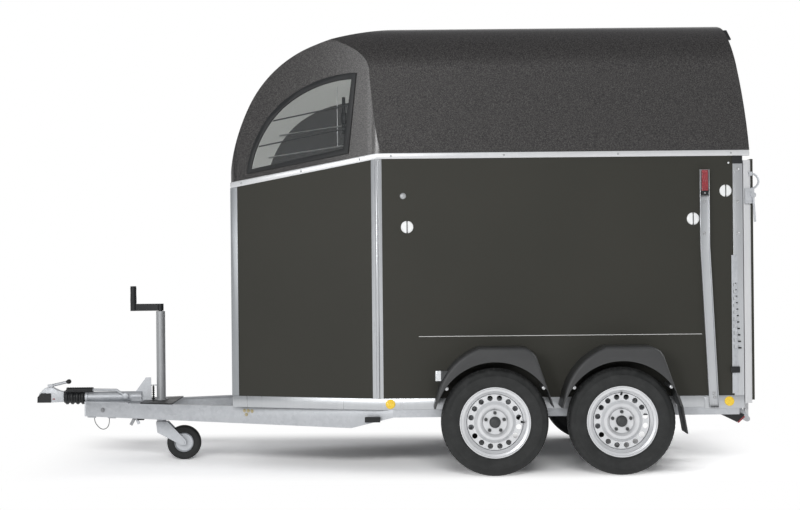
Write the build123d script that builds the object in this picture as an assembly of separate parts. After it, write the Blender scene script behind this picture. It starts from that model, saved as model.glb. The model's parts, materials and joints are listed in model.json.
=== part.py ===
from build123d import *
import os
from math import atan2, cos, degrees, hypot, pi, radians, sin, sqrt, tan

# Two-horse trailer, in millimetres. The coupling points to -X, the ramp to +X and +Z is up.
# X = 0 and Y = 0 are the middle of the length and of the width, and Z = 0 is the ground.

# Body
WALL_HALF = 850           # outer face of the side walls from the middle plane
FRONT_HALF = 530          # half width of the flat front wall
FRONT_X = -935            # outer face of the front wall
CORNER_X = -36            # where the slanted front sides meet the side walls
REAR_X = 2145             # rear face of the rear posts
WALL = 20                 # thickness of the wall panels
RAIL_BOTTOM = 335         # underside of the long chassis rails
RAIL_HEIGHT = 45
SILL_HEIGHT = 69          # floor frame that stands on the rails
SILL_WIDTH = 30
SILL_PROUD = 1            # floor frame over the wall panels
FLOOR = 30                # floor board with its rubber
SIDE_TOP = 1876           # top of the side wall panels
TRIM_HEIGHT = 34          # moulding between the walls and the hood
TRIM_DROP = 153           # how much lower the moulding lies at the front wall
TRIM_PROUD = 4            # posts and moulding stand this far out of the panels
POST_DEPTH = 26           # inward depth of the corner posts
MIDDLE_POST = 64
KNEE_BEAD = 11            # radius of the round edge of the middle posts
FRONT_POST = 40
REAR_POST = 58
REAR_POST_DEPTH = 60
POST_WALL = 4

# Hood
HOOD_WALL = 8
HOOD_TOP = 2718           # crown of the roof
HOOD_OVERHANG = 43        # lower rear edge behind the rear posts
HOOD_PROUD = 3            # hood over the wall panels
HOOD_BROW = 8             # foot of the front bow before the front wall
BOW_HEADING = 86          # degrees at which the front bow starts
HOOD_BOW = ((1.249, 23.2), (0.741, 42.6), (1.982, 18.6))  # arcs from the foot up: radius over height, degrees
SHOULDER_DROP = 303       # crown to where the side starts to turn into the roof
SHOULDER_LEAN = 14        # how far the side leans inwards up to there
SHOULDER_RADIUS = 262
NOSE_ROUND = 60           # upright edges of the front
CHEEK_ROUND = 300         # upright edges above the middle posts
TAIL_TURN = 4.5           # degrees by which the rear quarter turns inwards
TAIL_LOW = 320            # its crease before the rear edge, at the moulding
TAIL_HIGH = 498           # and at the shoulder
REAR_OPENING_HALF = 700
TAIL_BEND = 86            # crown to where the back turns down
REAR_OPENING_SHARE = 0.188  # share of the hood's height from there to the head of the opening
REAR_OPENING_ROUND = 130

# Window in the slanted front side of the hood
WINDOW_LIFT = 31          # foot of its frame over the moulding
WINDOW_FRAME = 34
WINDOW_PROUD = 9
PANE = 4

# Wheels and axles
WHEEL_RADIUS = 317
TYRE_WIDTH = 185
WHEEL_GAP = 30            # side wall to tyre
AXLE_X = 650              # front axle
AXLE_SPACING = 743
RIM_SEAT = 190            # radius of the bead seat
RIM_FLANGE = 208
RIM_WIDTH = 156
RIM_METAL = 4
RIM_HOLES = 16
RIM_HOLE_RADIUS = 16
RIM_HOLE_CIRCLE = 143
WHEEL_OFFSET = 30         # bolting face outside the middle plane of the wheel
BOLT_CIRCLE = 56
BOLTS = 5
HUB_BORE = 33
DRUM_RADIUS = 115
DRUM_DEPTH = 62
SPINDLE_RADIUS = 17
SPINDLE_CLEARANCE = 0.6
ARM_LENGTH = 150          # axle tube to wheel centre
ARM_THICKNESS = 20
ARM_RADIUS = 36
AXLE_TUBE = 80
AXLE_TUBE_WALL = 6

# Mudguards
GUARD_WIDTH = 242
GUARD_TOP = 757
GUARD_WALL = 5
GUARD_ROUND = 18          # edge between its top and its outer face
GUARD_FOOT = 404
GUARD_LIP = 20            # width of the outer face's rim over the arch
GUARD_ARCH = 357          # radius of the cut-out in the outer face
GUARD_FRONT = 358         # wheel centre to the front foot of its guard
GUARD_REAR = 345
FLAP = 8
FLAP_LOW = 245

# Drawbar and coupling
BALL_X = -2196
DRAWBAR_X = BALL_X + 269  # front end of the drawbar rails
DRAWBAR_HALF = 52         # outer face of the rails there
DRAWBAR_TOP = 376
DRAWBAR_LOW = 286         # underside at the front end and at the deepest place
DRAWBAR_BELLY = 264
PLATE = 5                 # thickness of the rails' plate
FLANGE = 42
COUPLING_Z = 409
NOSE_REACH = 48           # socket to the foremost point
NOSE_CAP = 6              # soft cap before the head
NOSE_CAP_HALF = 41
BALL_RADIUS = 25.2
HOUSING_RADIUS = 32
HOUSING_END = BALL_X + 622
SHAFT_RADIUS = 25
HEAD_LENGTH = 124         # socket to bellows
BELLOWS_LENGTH = 136
BELLOWS_RADIUS = 49

# Brake cable that hangs in a loop between two clips under the left rail
CABLE_RADIUS = 2.5
CABLE_Z = 277             # underside of the clips
CABLE_PATH = ((50, 0), (50, -24), (75, -55), (105, -74), (137, -68), (161, -40), (161, 0))
CLIP_ENDS = ((2, 58), (153, 205))
CLIP_WIDTH = 16

# Jockey wheel
JOCKEY_X = BALL_X + 746
JOCKEY_TUBE_RADIUS = 29
JOCKEY_TUBE_TOP = 955
JOCKEY_PLATE = 8          # plate between the drawbar rails that carries the jockey wheel
JOCKEY_SEAT = 105         # half its length
JOCKEY_LEG_RADIUS = 25
JOCKEY_LEG_BOTTOM = 262
JOCKEY_LEG_TOP = 880
JOCKEY_WHEEL_RADIUS = 110
JOCKEY_RIM_RADIUS = 62
JOCKEY_WIDTH = 50
JOCKEY_TRAIL = 145
CRANK_REACH = 174

# Ramp
RAMP_GAP = 5
RAMP_THICKNESS = 42
RAMP_SKIN = 14
RAMP_BOTTOM = 402
RAMP_TOP = 1849
RAMP_AXIS_BACK = 41       # hinge axis behind the rear posts
RAMP_AXIS_Z = 295
RAMP_FRAME = 60
HINGE_PIN = 9
HINGE_EYE = 25            # half the length of the hinges' eyes
HINGE_EAR = 10            # plates on both sides of each eye, 3 mm off it
HINGE_Y = (330, 700)

# Door in the right-hand slanted front side
DOOR_MARGIN = 70
DOOR_SIDE_MARGIN = 80
DOOR_GAP = 6
DOOR_THICKNESS = 34
DOOR_AXIS_OUT = 16

# Fittings
BREAST_BAR = (145, 1469)  # X and Z of the bar before and behind the horse
REAR_BAR = (REAR_X - 296, 1503)
WALL_CAPS = ((*BREAST_BAR, 37), (122, 1654, 19), (*REAR_BAR, 37), (REAR_X - 101, 1668, 36))  # X, Z, radius
CAP_DEPTH = 9
CHANNEL_X = REAR_X - 229
CHANNEL_KICK = 46         # how far its foot stands behind its upright upper part
CHANNEL_KNEE = 1340
CHANNEL_TOP = 1795
CHANNEL_WIDTH = 57
CHANNEL_DEPTH = 30
SLOTS = 10
SLOT_LOW = 728
SLOT_PITCH = 41
REFLECTORS_X = (36, REAR_X - 90)
REFLECTOR_RADIUS = 29
CORNER_PLATE = 3          # plate on the floor frame at the rear corner
LAMP_Y = 748              # inner end of the rear lamps
LAMP_LOW = 288
WINDOW_BARS = ((0.2314, 0.157, 0.851), (0.4022, 0.237, 0.868))  # shares: height, start, end
BAR_RADIUS = 7
CURTAIN_RADIUS = 34
CURTAIN_HALF = 640
CURTAIN_BACK = 135.6      # its axis before the hood's rear edge
CURTAIN_SHARE = 0.1485    # share of the hood's height from the back's bend to it

AXLES = {"front": AXLE_X, "rear": AXLE_X + AXLE_SPACING}
SIDES = {"left": -1, "right": 1}
SILL_BOTTOM = RAIL_BOTTOM + RAIL_HEIGHT
SILL_TOP = SILL_BOTTOM + SILL_HEIGHT
FLOOR_TOP = SILL_BOTTOM + FLOOR
JOCKEY_TUBE_BOTTOM = DRAWBAR_TOP + JOCKEY_PLATE
WHEEL_Y = WALL_HALF + WHEEL_GAP + TYRE_WIDTH / 2
CHEEK_RUN = CORNER_X - FRONT_X
CHEEK_TURN = degrees(atan2(WALL_HALF - FRONT_HALF, CHEEK_RUN))
CHEEK_LENGTH = hypot(CHEEK_RUN, WALL_HALF - FRONT_HALF)
HOOD_REAR = REAR_X + HOOD_OVERHANG
HOOD_FOOT = SIDE_TOP + TRIM_HEIGHT
SHOULDER_Z = HOOD_TOP - SHOULDER_DROP
DRAWBAR_END = CORNER_X + 90
RAMP_AXIS_X = REAR_X + RAMP_AXIS_BACK
NOSE_X = BALL_X - NOSE_REACH
BELLOWS_FRONT = BALL_X + HEAD_LENGTH
FAR = 4000


def block(x, y, z):
    """A box from three (low, high) pairs."""
    spans = (x, y, z)
    centre = [(low + high) / 2 for low, high in spans]
    return Pos(*centre) * Box(*[high - low for low, high in spans])


def side_face(edges, y_high, y_low):
    """Extrude a closed outline of X and Z from y_high down to y_low."""
    return extrude(Plane.XZ.offset(-y_high) * make_face(edges), y_high - y_low)


def side_polygon(points, y_high, y_low):
    return side_face(Polyline(*points, close=True), y_high, y_low)


def turned(points):
    """Revolve a closed outline of radius and height round Z."""
    return revolve(Plane.XZ * make_face(Polyline(*points, close=True)), Axis.Z)


def rod(radius, start, end):
    """A round bar between two points."""
    line = Vector(*end) - Vector(*start)
    return extrude(Plane(origin=start, z_dir=line) * Circle(radius), line.length)


def both(solid):
    """A piece and its mirror image on the other side of the trailer."""
    return [solid, mirror(solid, Plane.XZ)]


def save(name, *pieces):
    solids = []
    for piece in pieces:
        for item in (piece if isinstance(piece, (list, tuple)) else [piece]):
            solids += item.solids()
    export_step(Compound(solids), "parts/" + name + ".step")


def plan_face(grow=0.0, rear=REAR_X):
    """The walls' plan, moved outwards by grow on every side but the rear."""
    turn = radians(CHEEK_TURN)
    front = FRONT_X - grow
    front_half = FRONT_HALF + grow * (1 - sin(turn)) / cos(turn)
    corner = CORNER_X - grow * (1 - cos(turn)) / sin(turn)
    half = WALL_HALF + grow
    right = [(front, front_half), (corner, half), (rear, half)]
    return make_face(Polyline(*right, *[(x, -y) for x, y in reversed(right)], close=True))


def band(outside, inside, z_low, z_high, rear=REAR_X):
    """A ring of wall, open at the rear, between two offsets of the plan."""
    ring = plan_face(outside, rear) - plan_face(-inside, rear + 1)
    return Pos(0, 0, z_low) * extrude(ring, z_high - z_low)


def under_line(z_side, z_low=0.0):
    """All that lies under the moulding's line, which passes z_side at the side walls."""
    points = [(-FAR, z_low), (FAR, z_low), (FAR, z_side), (CORNER_X, z_side),
              (FRONT_X, z_side - TRIM_DROP), (-FAR, z_side - TRIM_DROP)]
    return side_polygon(points, FAR, -FAR)


def cheek_plane(side, out=0.0):
    """A plane on a slanted front side: local X runs to the rear, Y up and Z outwards."""
    turn = radians(CHEEK_TURN)
    normal = Vector(-sin(turn), side * cos(turn), 0)
    along = Vector(cos(turn), side * sin(turn), 0)
    origin = Vector(FRONT_X, side * FRONT_HALF, 0) + normal * out
    if side < 0:
        return Plane(origin=origin, x_dir=along, z_dir=normal)
    return Plane(origin=origin, x_dir=along, z_dir=-normal)


def cheek_solid(side, face, low, high):
    """Extrude a face drawn on a slanted side between two distances from its outer surface."""
    if side < 0:
        return extrude(cheek_plane(side, low) * face, high - low)
    return extrude(cheek_plane(side, high) * face, high - low)


def left_rail():
    """Outer face of the left drawbar rail as a plane, local X along it and Y up, and its length."""
    start = Vector(DRAWBAR_X, -DRAWBAR_HALF, 0)
    end = Vector(DRAWBAR_END, -WALL_HALF, 0)
    along = (end - start).normalized()
    return Plane(origin=start, x_dir=along, z_dir=Vector(along.Y, -along.X, 0)), (end - start).length


def build_chassis():
    """Drawbar rails, long rails, cross members and the plate under the jockey wheel."""
    web, run = left_rail()

    def web_outline(plate, reach):
        """The rail's side view, its plate left off above and below."""
        top = [(0, DRAWBAR_TOP), (0.33 * run, DRAWBAR_TOP), (0.54 * run, SILL_BOTTOM), (reach, SILL_BOTTOM)]
        low = [(reach, RAIL_BOTTOM), (0.87 * run, DRAWBAR_BELLY), (0.45 * run, DRAWBAR_BELLY + 14),
               (0, DRAWBAR_LOW)]
        return [(x, z - plate) for x, z in top] + [(x, z + plate) for x, z in low]

    def slab(points, depth):
        return extrude(web.offset(-depth - FLANGE) * make_face(Polyline(*points, close=True)), FLANGE)

    left = slab(web_outline(0, run), 0) - slab(web_outline(PLATE, run + 1), PLATE)
    long_rail = block((DRAWBAR_END + 0.5, REAR_X - SILL_WIDTH), (-WALL_HALF, -WALL_HALF + FLANGE),
                      (RAIL_BOTTOM, SILL_BOTTOM))
    long_rail -= block((DRAWBAR_END, REAR_X), (-WALL_HALF + PLATE, -WALL_HALF + FLANGE + 1),
                       (RAIL_BOTTOM + PLATE, SILL_BOTTOM - PLATE))
    left = left - block((DRAWBAR_END + 0.5, FAR), (-FAR, FAR), (0, FAR))
    save("drawbar_rails", both(left), cable_clips(run))
    save("chassis_rails", both(long_rail))

    members = []
    reach = WALL_HALF - PLATE
    for x in (300, 900, REAR_X - 365):
        tube = block((x - 30, x + 30), (-reach, reach), (RAIL_BOTTOM + PLATE, SILL_BOTTOM - PLATE))
        members.append(tube - block((x - 26, x + 26), (-FAR, FAR),
                                    (RAIL_BOTTOM + PLATE + 4, SILL_BOTTOM - PLATE - 4)))
    slope = (WALL_HALF - DRAWBAR_HALF) / (DRAWBAR_END - DRAWBAR_X)
    front_reach = DRAWBAR_HALF + (FRONT_X + 20 - DRAWBAR_X) * slope - FLANGE - 12
    front = block((FRONT_X, FRONT_X + 50), (-front_reach, front_reach), (SILL_BOTTOM - 46, SILL_BOTTOM))
    front -= block((FRONT_X + 5, FRONT_X + 51), (-FAR, FAR), (0, SILL_BOTTOM - 5))
    members.append(front)
    seat_front = JOCKEY_X - JOCKEY_SEAT
    seat_rear = JOCKEY_X + JOCKEY_SEAT
    half_front = DRAWBAR_HALF + (seat_front - DRAWBAR_X) * slope
    half_rear = DRAWBAR_HALF + (seat_rear - DRAWBAR_X) * slope
    plan = make_face(Polyline((seat_front, -half_front), (seat_rear, -half_rear), (seat_rear, half_rear),
                              (seat_front, half_front), close=True))
    plate = Pos(0, 0, DRAWBAR_TOP) * extrude(plan, JOCKEY_PLATE)
    plate -= Pos(JOCKEY_X, 0, DRAWBAR_TOP) * Cylinder(JOCKEY_LEG_RADIUS + 1, 40)
    save("cross_members", members, plate)


def cable_clips(run):
    """Two clips under the left rail's flange, whose underside slopes to DRAWBAR_BELLY."""
    web = left_rail()[0]
    fall = (DRAWBAR_LOW - DRAWBAR_BELLY - 14) / (0.45 * run)
    clips = []
    for low, high in CLIP_ENDS:
        outline = [(low, CABLE_Z), (high, CABLE_Z), (high, DRAWBAR_LOW - fall * high),
                   (low, DRAWBAR_LOW - fall * low)]
        face = web.offset(-(FLANGE + CLIP_WIDTH) / 2) * make_face(Polyline(*outline, close=True))
        clips.append(extrude(face, CLIP_WIDTH))
    return clips


def build_cable():
    """A tube along straight runs joined by arcs, each as wide as its runs leave room for."""
    plane = left_rail()[0].offset(-FLANGE / 2)
    points = [plane.from_local_coords(Vector(along, CABLE_Z + drop, 0)) for along, drop in CABLE_PATH]
    radii = []
    for before, corner, after in zip(points, points[1:], points[2:]):
        turn = (corner - before).get_angle(after - corner)
        shorter = min((corner - before).length, (after - corner).length)
        radii.append(0.45 * shorter / tan(radians(turn / 2)))
    print("brake cable radii in mm:", [round(radius, 1) for radius in radii])
    path = FilletPolyline(*points, radius=radii)
    tube = sweep(Plane(origin=points[0], z_dir=(0, 0, -1)) * Circle(CABLE_RADIUS), path=path)
    print("brake cable length in mm:", round(path.length, 1), "volume ratio:",
          round(tube.volume / (pi * CABLE_RADIUS ** 2 * path.length), 4))
    save("brake_cable", tube)


def build_axles():
    """Two axle tubes with trailing arms; each arm ends in the fixed spindle of its wheel."""
    tubes = []
    arms = []
    for x_wheel in AXLES.values():
        x = x_wheel - ARM_LENGTH
        z = (RAIL_BOTTOM - AXLE_TUBE, RAIL_BOTTOM)
        tube = block((x - AXLE_TUBE / 2, x + AXLE_TUBE / 2), (-WALL_HALF, WALL_HALF), z)
        bore = AXLE_TUBE / 2 - AXLE_TUBE_WALL
        tube -= block((x - bore, x + bore), (-FAR, FAR), (z[0] + AXLE_TUBE_WALL, z[1] - AXLE_TUBE_WALL))
        tubes.append(tube)

        z_tube = RAIL_BOTTOM - AXLE_TUBE / 2
        ends = [(x, z_tube), (x_wheel, WHEEL_RADIUS)]
        lean = atan2(ends[1][1] - ends[0][1], ends[1][0] - ends[0][0])
        up = (-sin(lean) * ARM_RADIUS, cos(lean) * ARM_RADIUS)
        outline = [(ends[0][0] + up[0], ends[0][1] + up[1]), (ends[1][0] + up[0], ends[1][1] + up[1]),
                   (ends[1][0] - up[0], ends[1][1] - up[1]), (ends[0][0] - up[0], ends[0][1] - up[1])]
        inner_face = -WALL_HALF
        outer_face = inner_face - ARM_THICKNESS
        arm = side_polygon(outline, inner_face, outer_face)
        for x_end, z_end in ends:
            arm += rod(ARM_RADIUS, (x_end, inner_face, z_end), (x_end, outer_face, z_end))
        hub_face = -WHEEL_Y - WHEEL_OFFSET
        steps = ((28, outer_face), (DRUM_RADIUS - 4, hub_face + DRUM_DEPTH + 14),
                 (SPINDLE_RADIUS, hub_face + DRUM_DEPTH + 8), (0, hub_face + 4))
        for (radius, y_start), (_, y_end) in zip(steps, steps[1:]):
            arm += rod(radius, (x_wheel, y_start, WHEEL_RADIUS), (x_wheel, y_end, WHEEL_RADIUS))
        arms += both(arm)
    save("axle_tubes", tubes)
    save("axle_arms", arms)


def wheel_pieces():
    """Tyre, rim and hub with its drum, round Z, the outer side at +Z."""
    half = TYRE_WIDTH / 2
    seat = RIM_WIDTH / 2
    tread = WHEEL_RADIUS
    wall = [(RIM_SEAT + 0.3, seat - 14), (RIM_FLANGE + 46, half), (tread, half - 22)]
    tyre = turned([(r, -w) for r, w in wall] + wall[::-1])
    bowl = RIM_SEAT - 18
    outer = [(RIM_FLANGE, seat + 2), (RIM_FLANGE - 4, seat - 3), (RIM_SEAT, seat - 7), (RIM_SEAT - 2, 48),
             (bowl, 34), (bowl, -14), (RIM_SEAT - 2, -40), (RIM_SEAT, -seat + 7), (RIM_FLANGE - 4, -seat + 3),
             (RIM_FLANGE, -seat - 2)]
    inner = [(r - RIM_METAL - (1 if abs(w) > seat - 10 else 0), w) for r, w in reversed(outer)]
    barrel = turned(outer + inner)
    face = WHEEL_OFFSET
    ring = RIM_HOLE_RADIUS + 4
    dish = [(bowl - RIM_METAL + 1, 18), (RIM_HOLE_CIRCLE + ring, 34), (RIM_HOLE_CIRCLE - ring, 34), (104, 50),
            (88, 51), (78, 44), (70, face + RIM_METAL + 1), (HUB_BORE, face + RIM_METAL + 1)]
    back = [(r, w - 5) for r, w in reversed(dish)]
    disc = turned(dish + back)
    for i in range(RIM_HOLES):
        hole = Pos(RIM_HOLE_CIRCLE, 0, 30) * Cylinder(RIM_HOLE_RADIUS, 60)
        disc -= Rot(0, 0, (i + 0.5) * 360 / RIM_HOLES) * hole
    rim = barrel + disc
    for i in range(BOLTS):
        rim -= Rot(0, 0, i * 360 / BOLTS + 90) * Pos(BOLT_CIRCLE, 0, face) * Cylinder(7.5, 40)

    bore = SPINDLE_RADIUS + SPINDLE_CLEARANCE
    back_face = face - DRUM_DEPTH
    drum_bore = DRUM_RADIUS - 14
    neck = HUB_BORE - 1
    hub = turned([(bore, back_face), (36, back_face), (36, face - 12), (drum_bore, face - 12),
                  (drum_bore, back_face), (DRUM_RADIUS, back_face), (DRUM_RADIUS, face - 4),
                  (DRUM_RADIUS - 4, face), (neck, face), (neck, face + 14), (22, face + 22),
                  (0, face + 24), (0, face + 6), (bore, face + 6)])
    for i in range(BOLTS):
        place = Rot(0, 0, i * 360 / BOLTS + 90) * Pos(BOLT_CIRCLE, 0, 0)
        hub += place * Pos(0, 0, face + 5) * Cylinder(7, 16)
        hub += place * Pos(0, 0, face + 5 + 8) * extrude(RegularPolygon(11, 6), 9)
    return tyre, rim, hub


def build_wheels():
    tyre, rim, hub = wheel_pieces()
    for axle, x in AXLES.items():
        for name, side in SIDES.items():
            place = Pos(x, side * WHEEL_Y, WHEEL_RADIUS) * Rot(-90 * side, 0, 0)
            save("tyre_" + axle + "_" + name, place * tyre)
            save("rim_" + axle + "_" + name, place * rim)
            save("hub_" + axle + "_" + name, place * hub)


def guard_outline(x, shrink=0.0):
    """Outline of one mudguard over the wheel at x, drawn inwards by shrink."""
    rise = GUARD_TOP - GUARD_FOOT
    front = x - GUARD_FRONT + shrink
    rear = x + GUARD_REAR - shrink

    def at(reach, height, inwards=1.0, down=1.0):
        """A point by its share of the guard's reach, before or behind the wheel, and of its height."""
        inwards = inwards if reach < 0 else -inwards
        span = GUARD_FRONT if reach < 0 else GUARD_REAR
        return (x + reach * span + inwards * shrink, GUARD_FOOT + height * rise - down * shrink)

    shin = at(-0.933, 0.27, 1, 0)
    crest = (at(-0.25, 1, 0), at(0.48, 1, 0))
    tail = at(0.725, 0.79, 1, 0)
    return [Line((front, GUARD_FOOT), shin), ThreePointArc(shin, at(-0.656, 0.745, 0.6, 0.7), crest[0]),
            Line(*crest), ThreePointArc(crest[1], at(0.623, 0.938, 0.6), tail),
            Line(tail, (rear, GUARD_FOOT)), Line((rear, GUARD_FOOT), (front, GUARD_FOOT))]


def build_mudguards():
    """One moulded guard over each wheel, a flap behind the rear ones."""
    guards = []
    y_in = -WALL_HALF - SILL_PROUD
    y_out = y_in - GUARD_WIDTH

    def rounded(x, shrink):
        solid = side_face(guard_outline(x, shrink), y_in + shrink, y_out + shrink)
        outer_edges = solid.faces().sort_by(Axis.Y)[0].edges()
        rim = outer_edges.filter_by(lambda edge: edge.center().Z > GUARD_FOOT + 6)
        return fillet(rim, GUARD_ROUND - shrink)

    for x in AXLES.values():
        shell = rounded(x, 0) - rounded(x, GUARD_WALL)
        shell -= rod(GUARD_ARCH, (x, y_out + GUARD_LIP, WHEEL_RADIUS), (x, y_out - 1, WHEEL_RADIUS))
        guards += both(shell)
    rear = AXLES["rear"] + GUARD_REAR + 0.4
    back = [(rear - 22.6, 470), (rear, GUARD_FOOT), (rear + 28, FLAP_LOW)]
    outline = back + [(x + FLAP, z) for x, z in reversed(back)]
    flap = side_polygon(outline, y_in - 20, y_out + 20)
    save("mudguards", guards, both(flap))


def build_body():
    """Floor, floor frame, posts, wall panels and moulding."""
    ring = plan_face(SILL_PROUD) - plan_face(-SILL_WIDTH, REAR_X - SILL_WIDTH)
    save("sill_frame", Pos(0, 0, SILL_BOTTOM) * extrude(ring, SILL_HEIGHT))
    save("floor_panel", Pos(0, 0, SILL_BOTTOM) * extrude(plan_face(-SILL_WIDTH, REAR_X - SILL_WIDTH), FLOOR))

    below = under_line(SIDE_TOP)
    wall = band(0, WALL, SILL_TOP, SIDE_TOP) & below
    middle = (CORNER_X - MIDDLE_POST / 2, CORNER_X + MIDDLE_POST / 2)
    rear_post_x = REAR_X - REAR_POST
    side = wall & block((middle[1], rear_post_x), (-FAR, 0), (0, FAR))
    save("side_panels", both(side))

    front_post_x = FRONT_X + FRONT_POST
    cheek = wall & block((front_post_x, middle[0]), (-FAR, 0), (0, FAR))
    hole = cheek_solid(1, door_outline(), -WALL - 20, 20)
    save("cheek_panels", cheek, mirror(cheek, Plane.XZ) - hole)
    front_reach = FRONT_HALF - FRONT_POST
    save("front_panel", wall & block((-FAR, front_post_x), (-front_reach, front_reach), (0, FAR)))

    frame = band(TRIM_PROUD, POST_DEPTH, SILL_TOP, SIDE_TOP) & below
    corner = frame & block((-FAR, front_post_x), (-FAR, -front_reach), (0, FAR))
    knee = frame & block(middle, (-FAR, 0), (0, FAR))
    post_y = -WALL_HALF - TRIM_PROUD
    post_depth = -WALL_HALF + REAR_POST_DEPTH
    rear = block((rear_post_x, REAR_X), (post_y, post_depth), (SILL_TOP, SIDE_TOP))
    rear -= block((rear_post_x + POST_WALL, REAR_X - POST_WALL), (post_y + POST_WALL, post_depth + 1),
                  (SILL_TOP + POST_WALL, SIDE_TOP - POST_WALL))
    knee += rod(KNEE_BEAD, (CORNER_X + 1, post_y + 3, SILL_TOP), (CORNER_X + 1, post_y + 3, SIDE_TOP - 8))
    save("wall_posts", both(corner), both(knee), both(rear))

    trim = band(TRIM_PROUD, POST_DEPTH, SIDE_TOP - TRIM_DROP, SIDE_TOP + TRIM_HEIGHT, HOOD_REAR)
    trim = trim & under_line(SIDE_TOP + TRIM_HEIGHT)
    save("roof_trim", trim - under_line(SIDE_TOP))


def hood_profile(shrink=0.0, open_below=0.0):
    """Side outline of the hood: a front bow of tangent arcs, a crowned roof and a curved back."""
    foot_z = HOOD_FOOT - open_below
    foot_front = Vector(FRONT_X - HOOD_BROW + shrink, foot_z - TRIM_DROP)
    rise = Vector(cos(radians(BOW_HEADING)), sin(radians(BOW_HEADING)))
    start = foot_front + rise * open_below
    height = HOOD_TOP - HOOD_FOOT + TRIM_DROP
    edges = [Line(foot_front, start)] if open_below else []
    for share, angle in HOOD_BOW:
        bow = JernArc(start, rise, share * height - shrink, -angle)
        edges.append(bow)
        start, rise = bow @ 1, bow % 1
    back = HOOD_REAR - shrink
    top = HOOD_TOP - shrink
    rear_top = (HOOD_REAR - 198, top - 34)
    rear_turn = (back - 122, top - TAIL_BEND + 0.6 * shrink)
    crown = ((start.X + rear_top[0]) / 2, top - 4)
    edges.append(ThreePointArc(start, crown, rear_top))
    edges.append(ThreePointArc(rear_top, (back - 144 + 0.3 * shrink, top - 48 + 0.3 * shrink), rear_turn))
    edges.append(ThreePointArc(rear_turn, (back - 46, (HOOD_FOOT + rear_turn[1]) / 2 + 12), (back, foot_z)))
    edges.append(Polyline((back, foot_z), (CORNER_X, foot_z), foot_front))
    return edges


def hood_section(shrink=0.0):
    """Cross section of the hood, seen along X: leaning sides, round shoulders, crowned roof."""
    half = WALL_HALF + HOOD_PROUD - shrink
    shoulder = half - SHOULDER_LEAN
    radius = SHOULDER_RADIUS - shrink
    top = HOOD_TOP - shrink
    edge = (shoulder - radius, SHOULDER_Z + radius)
    diagonal = radius * sqrt(0.5)
    bend = (shoulder - radius + diagonal, SHOULDER_Z + diagonal)
    right = [Line((half, 0), (half, SIDE_TOP)), Line((half, SIDE_TOP), (shoulder, SHOULDER_Z)),
             ThreePointArc((shoulder, SHOULDER_Z), bend, edge)]
    crown = ThreePointArc(edge, (0, top), (-edge[0], edge[1]))
    left = [ThreePointArc((-edge[0], edge[1]), (-bend[0], bend[1]), (-shoulder, SHOULDER_Z)),
            Line((-shoulder, SHOULDER_Z), (-half, SIDE_TOP)), Line((-half, SIDE_TOP), (-half, 0))]
    return right + [crown] + left + [Line((-half, 0), (half, 0))]


def hood_block(shrink=0.0, open_below=0.0):
    body = side_face(hood_profile(shrink, open_below), FAR / 2, -FAR / 2)
    section = extrude(Plane.YZ.offset(-FAR) * make_face(hood_section(shrink)), 2 * FAR)
    plan = extrude(plan_face(HOOD_PROUD - shrink, HOOD_REAR + 50), FAR)
    rounds = ((FRONT_X, NOSE_ROUND), (CORNER_X, CHEEK_ROUND))
    for x, radius in rounds:
        upright = plan.edges().filter_by(Axis.Z)
        near = upright.filter_by(lambda edge: abs(edge.center().X - x) < 40)
        plan = fillet(near, max(radius - shrink, 1))
    tail = tail_wedge(shrink)
    return (body & section & plan) - tail - mirror(tail, Plane.XZ)


def tail_wedge(shrink=0.0):
    """What is cut off so that the rear quarter turns inwards behind a leaning crease."""
    side_y = -WALL_HALF - HOOD_PROUD + shrink
    low = Vector(HOOD_REAR - TAIL_LOW, side_y, HOOD_FOOT)
    high = Vector(HOOD_REAR - TAIL_HIGH, side_y + SHOULDER_LEAN, SHOULDER_Z)
    crease = (high - low).normalized()
    side = Plane(origin=low, x_dir=crease, z_dir=crease.cross(Vector(-1, 0, 0)).normalized())
    turned_side = side.rotated((TAIL_TURN, 0, 0))
    return extrude(turned_side * Pos(300, 0) * Rectangle(1800, 1500), 300)


def window_outline(shrink=0.0):
    """Outline of the front side window on its wall: X from the front post, Y is height."""
    height = HOOD_TOP - HOOD_FOOT

    def foot(share, inwards):
        x = share * CHEEK_LENGTH + inwards
        return (x, HOOD_FOOT - TRIM_DROP * (1 - share) + WINDOW_LIFT + 0.9 * shrink)

    def bow(share, rise, inwards, down):
        return (share * CHEEK_LENGTH + inwards * shrink, HOOD_FOOT + rise * height - down * shrink)

    low, rear = foot(0.115, shrink), foot(0.818, -shrink)
    middle = bow(0.348, 0.387, 0.66, 0.75)
    head = bow(0.878, 0.601, -1, 1.1)
    lower_bow = ThreePointArc(low, bow(0.2, 0.177, 0.9, 0.4), middle)
    upper_bow = ThreePointArc(middle, bow(0.593, 0.545, 0.2, 1), head)
    return make_face([lower_bow, upper_bow, Line(head, rear), Line(rear, low)])


def build_hood():
    outer = hood_block()
    inner = hood_block(HOOD_WALL, 60)
    hood = outer - inner
    for side in SIDES.values():
        hood -= cheek_solid(side, window_outline(WINDOW_FRAME), -80, 60)
    low = SIDE_TOP - 100
    rise = HOOD_TOP - TAIL_BEND - REAR_OPENING_SHARE * (HOOD_TOP - HOOD_FOOT) - low
    opening = Pos(0, low + rise / 2) * Rectangle(2 * REAR_OPENING_HALF, rise)
    corners = opening.vertices().group_by(Axis.Y)[-1]
    opening = fillet(corners, REAR_OPENING_ROUND)
    hood -= extrude(Plane.YZ.offset(HOOD_REAR - 238) * opening, FAR)
    save("hood", hood)

    frames = []
    panes = []
    for side in SIDES.values():
        ring = window_outline() - window_outline(WINDOW_FRAME)
        frames.append(cheek_solid(side, ring, HOOD_PROUD + 0.3, HOOD_PROUD + WINDOW_PROUD))
        panes.append(cheek_solid(side, window_outline(WINDOW_FRAME + 0.3), HOOD_PROUD, HOOD_PROUD + PANE))
    save("window_frames", frames)
    save("window_panes", panes)


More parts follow.
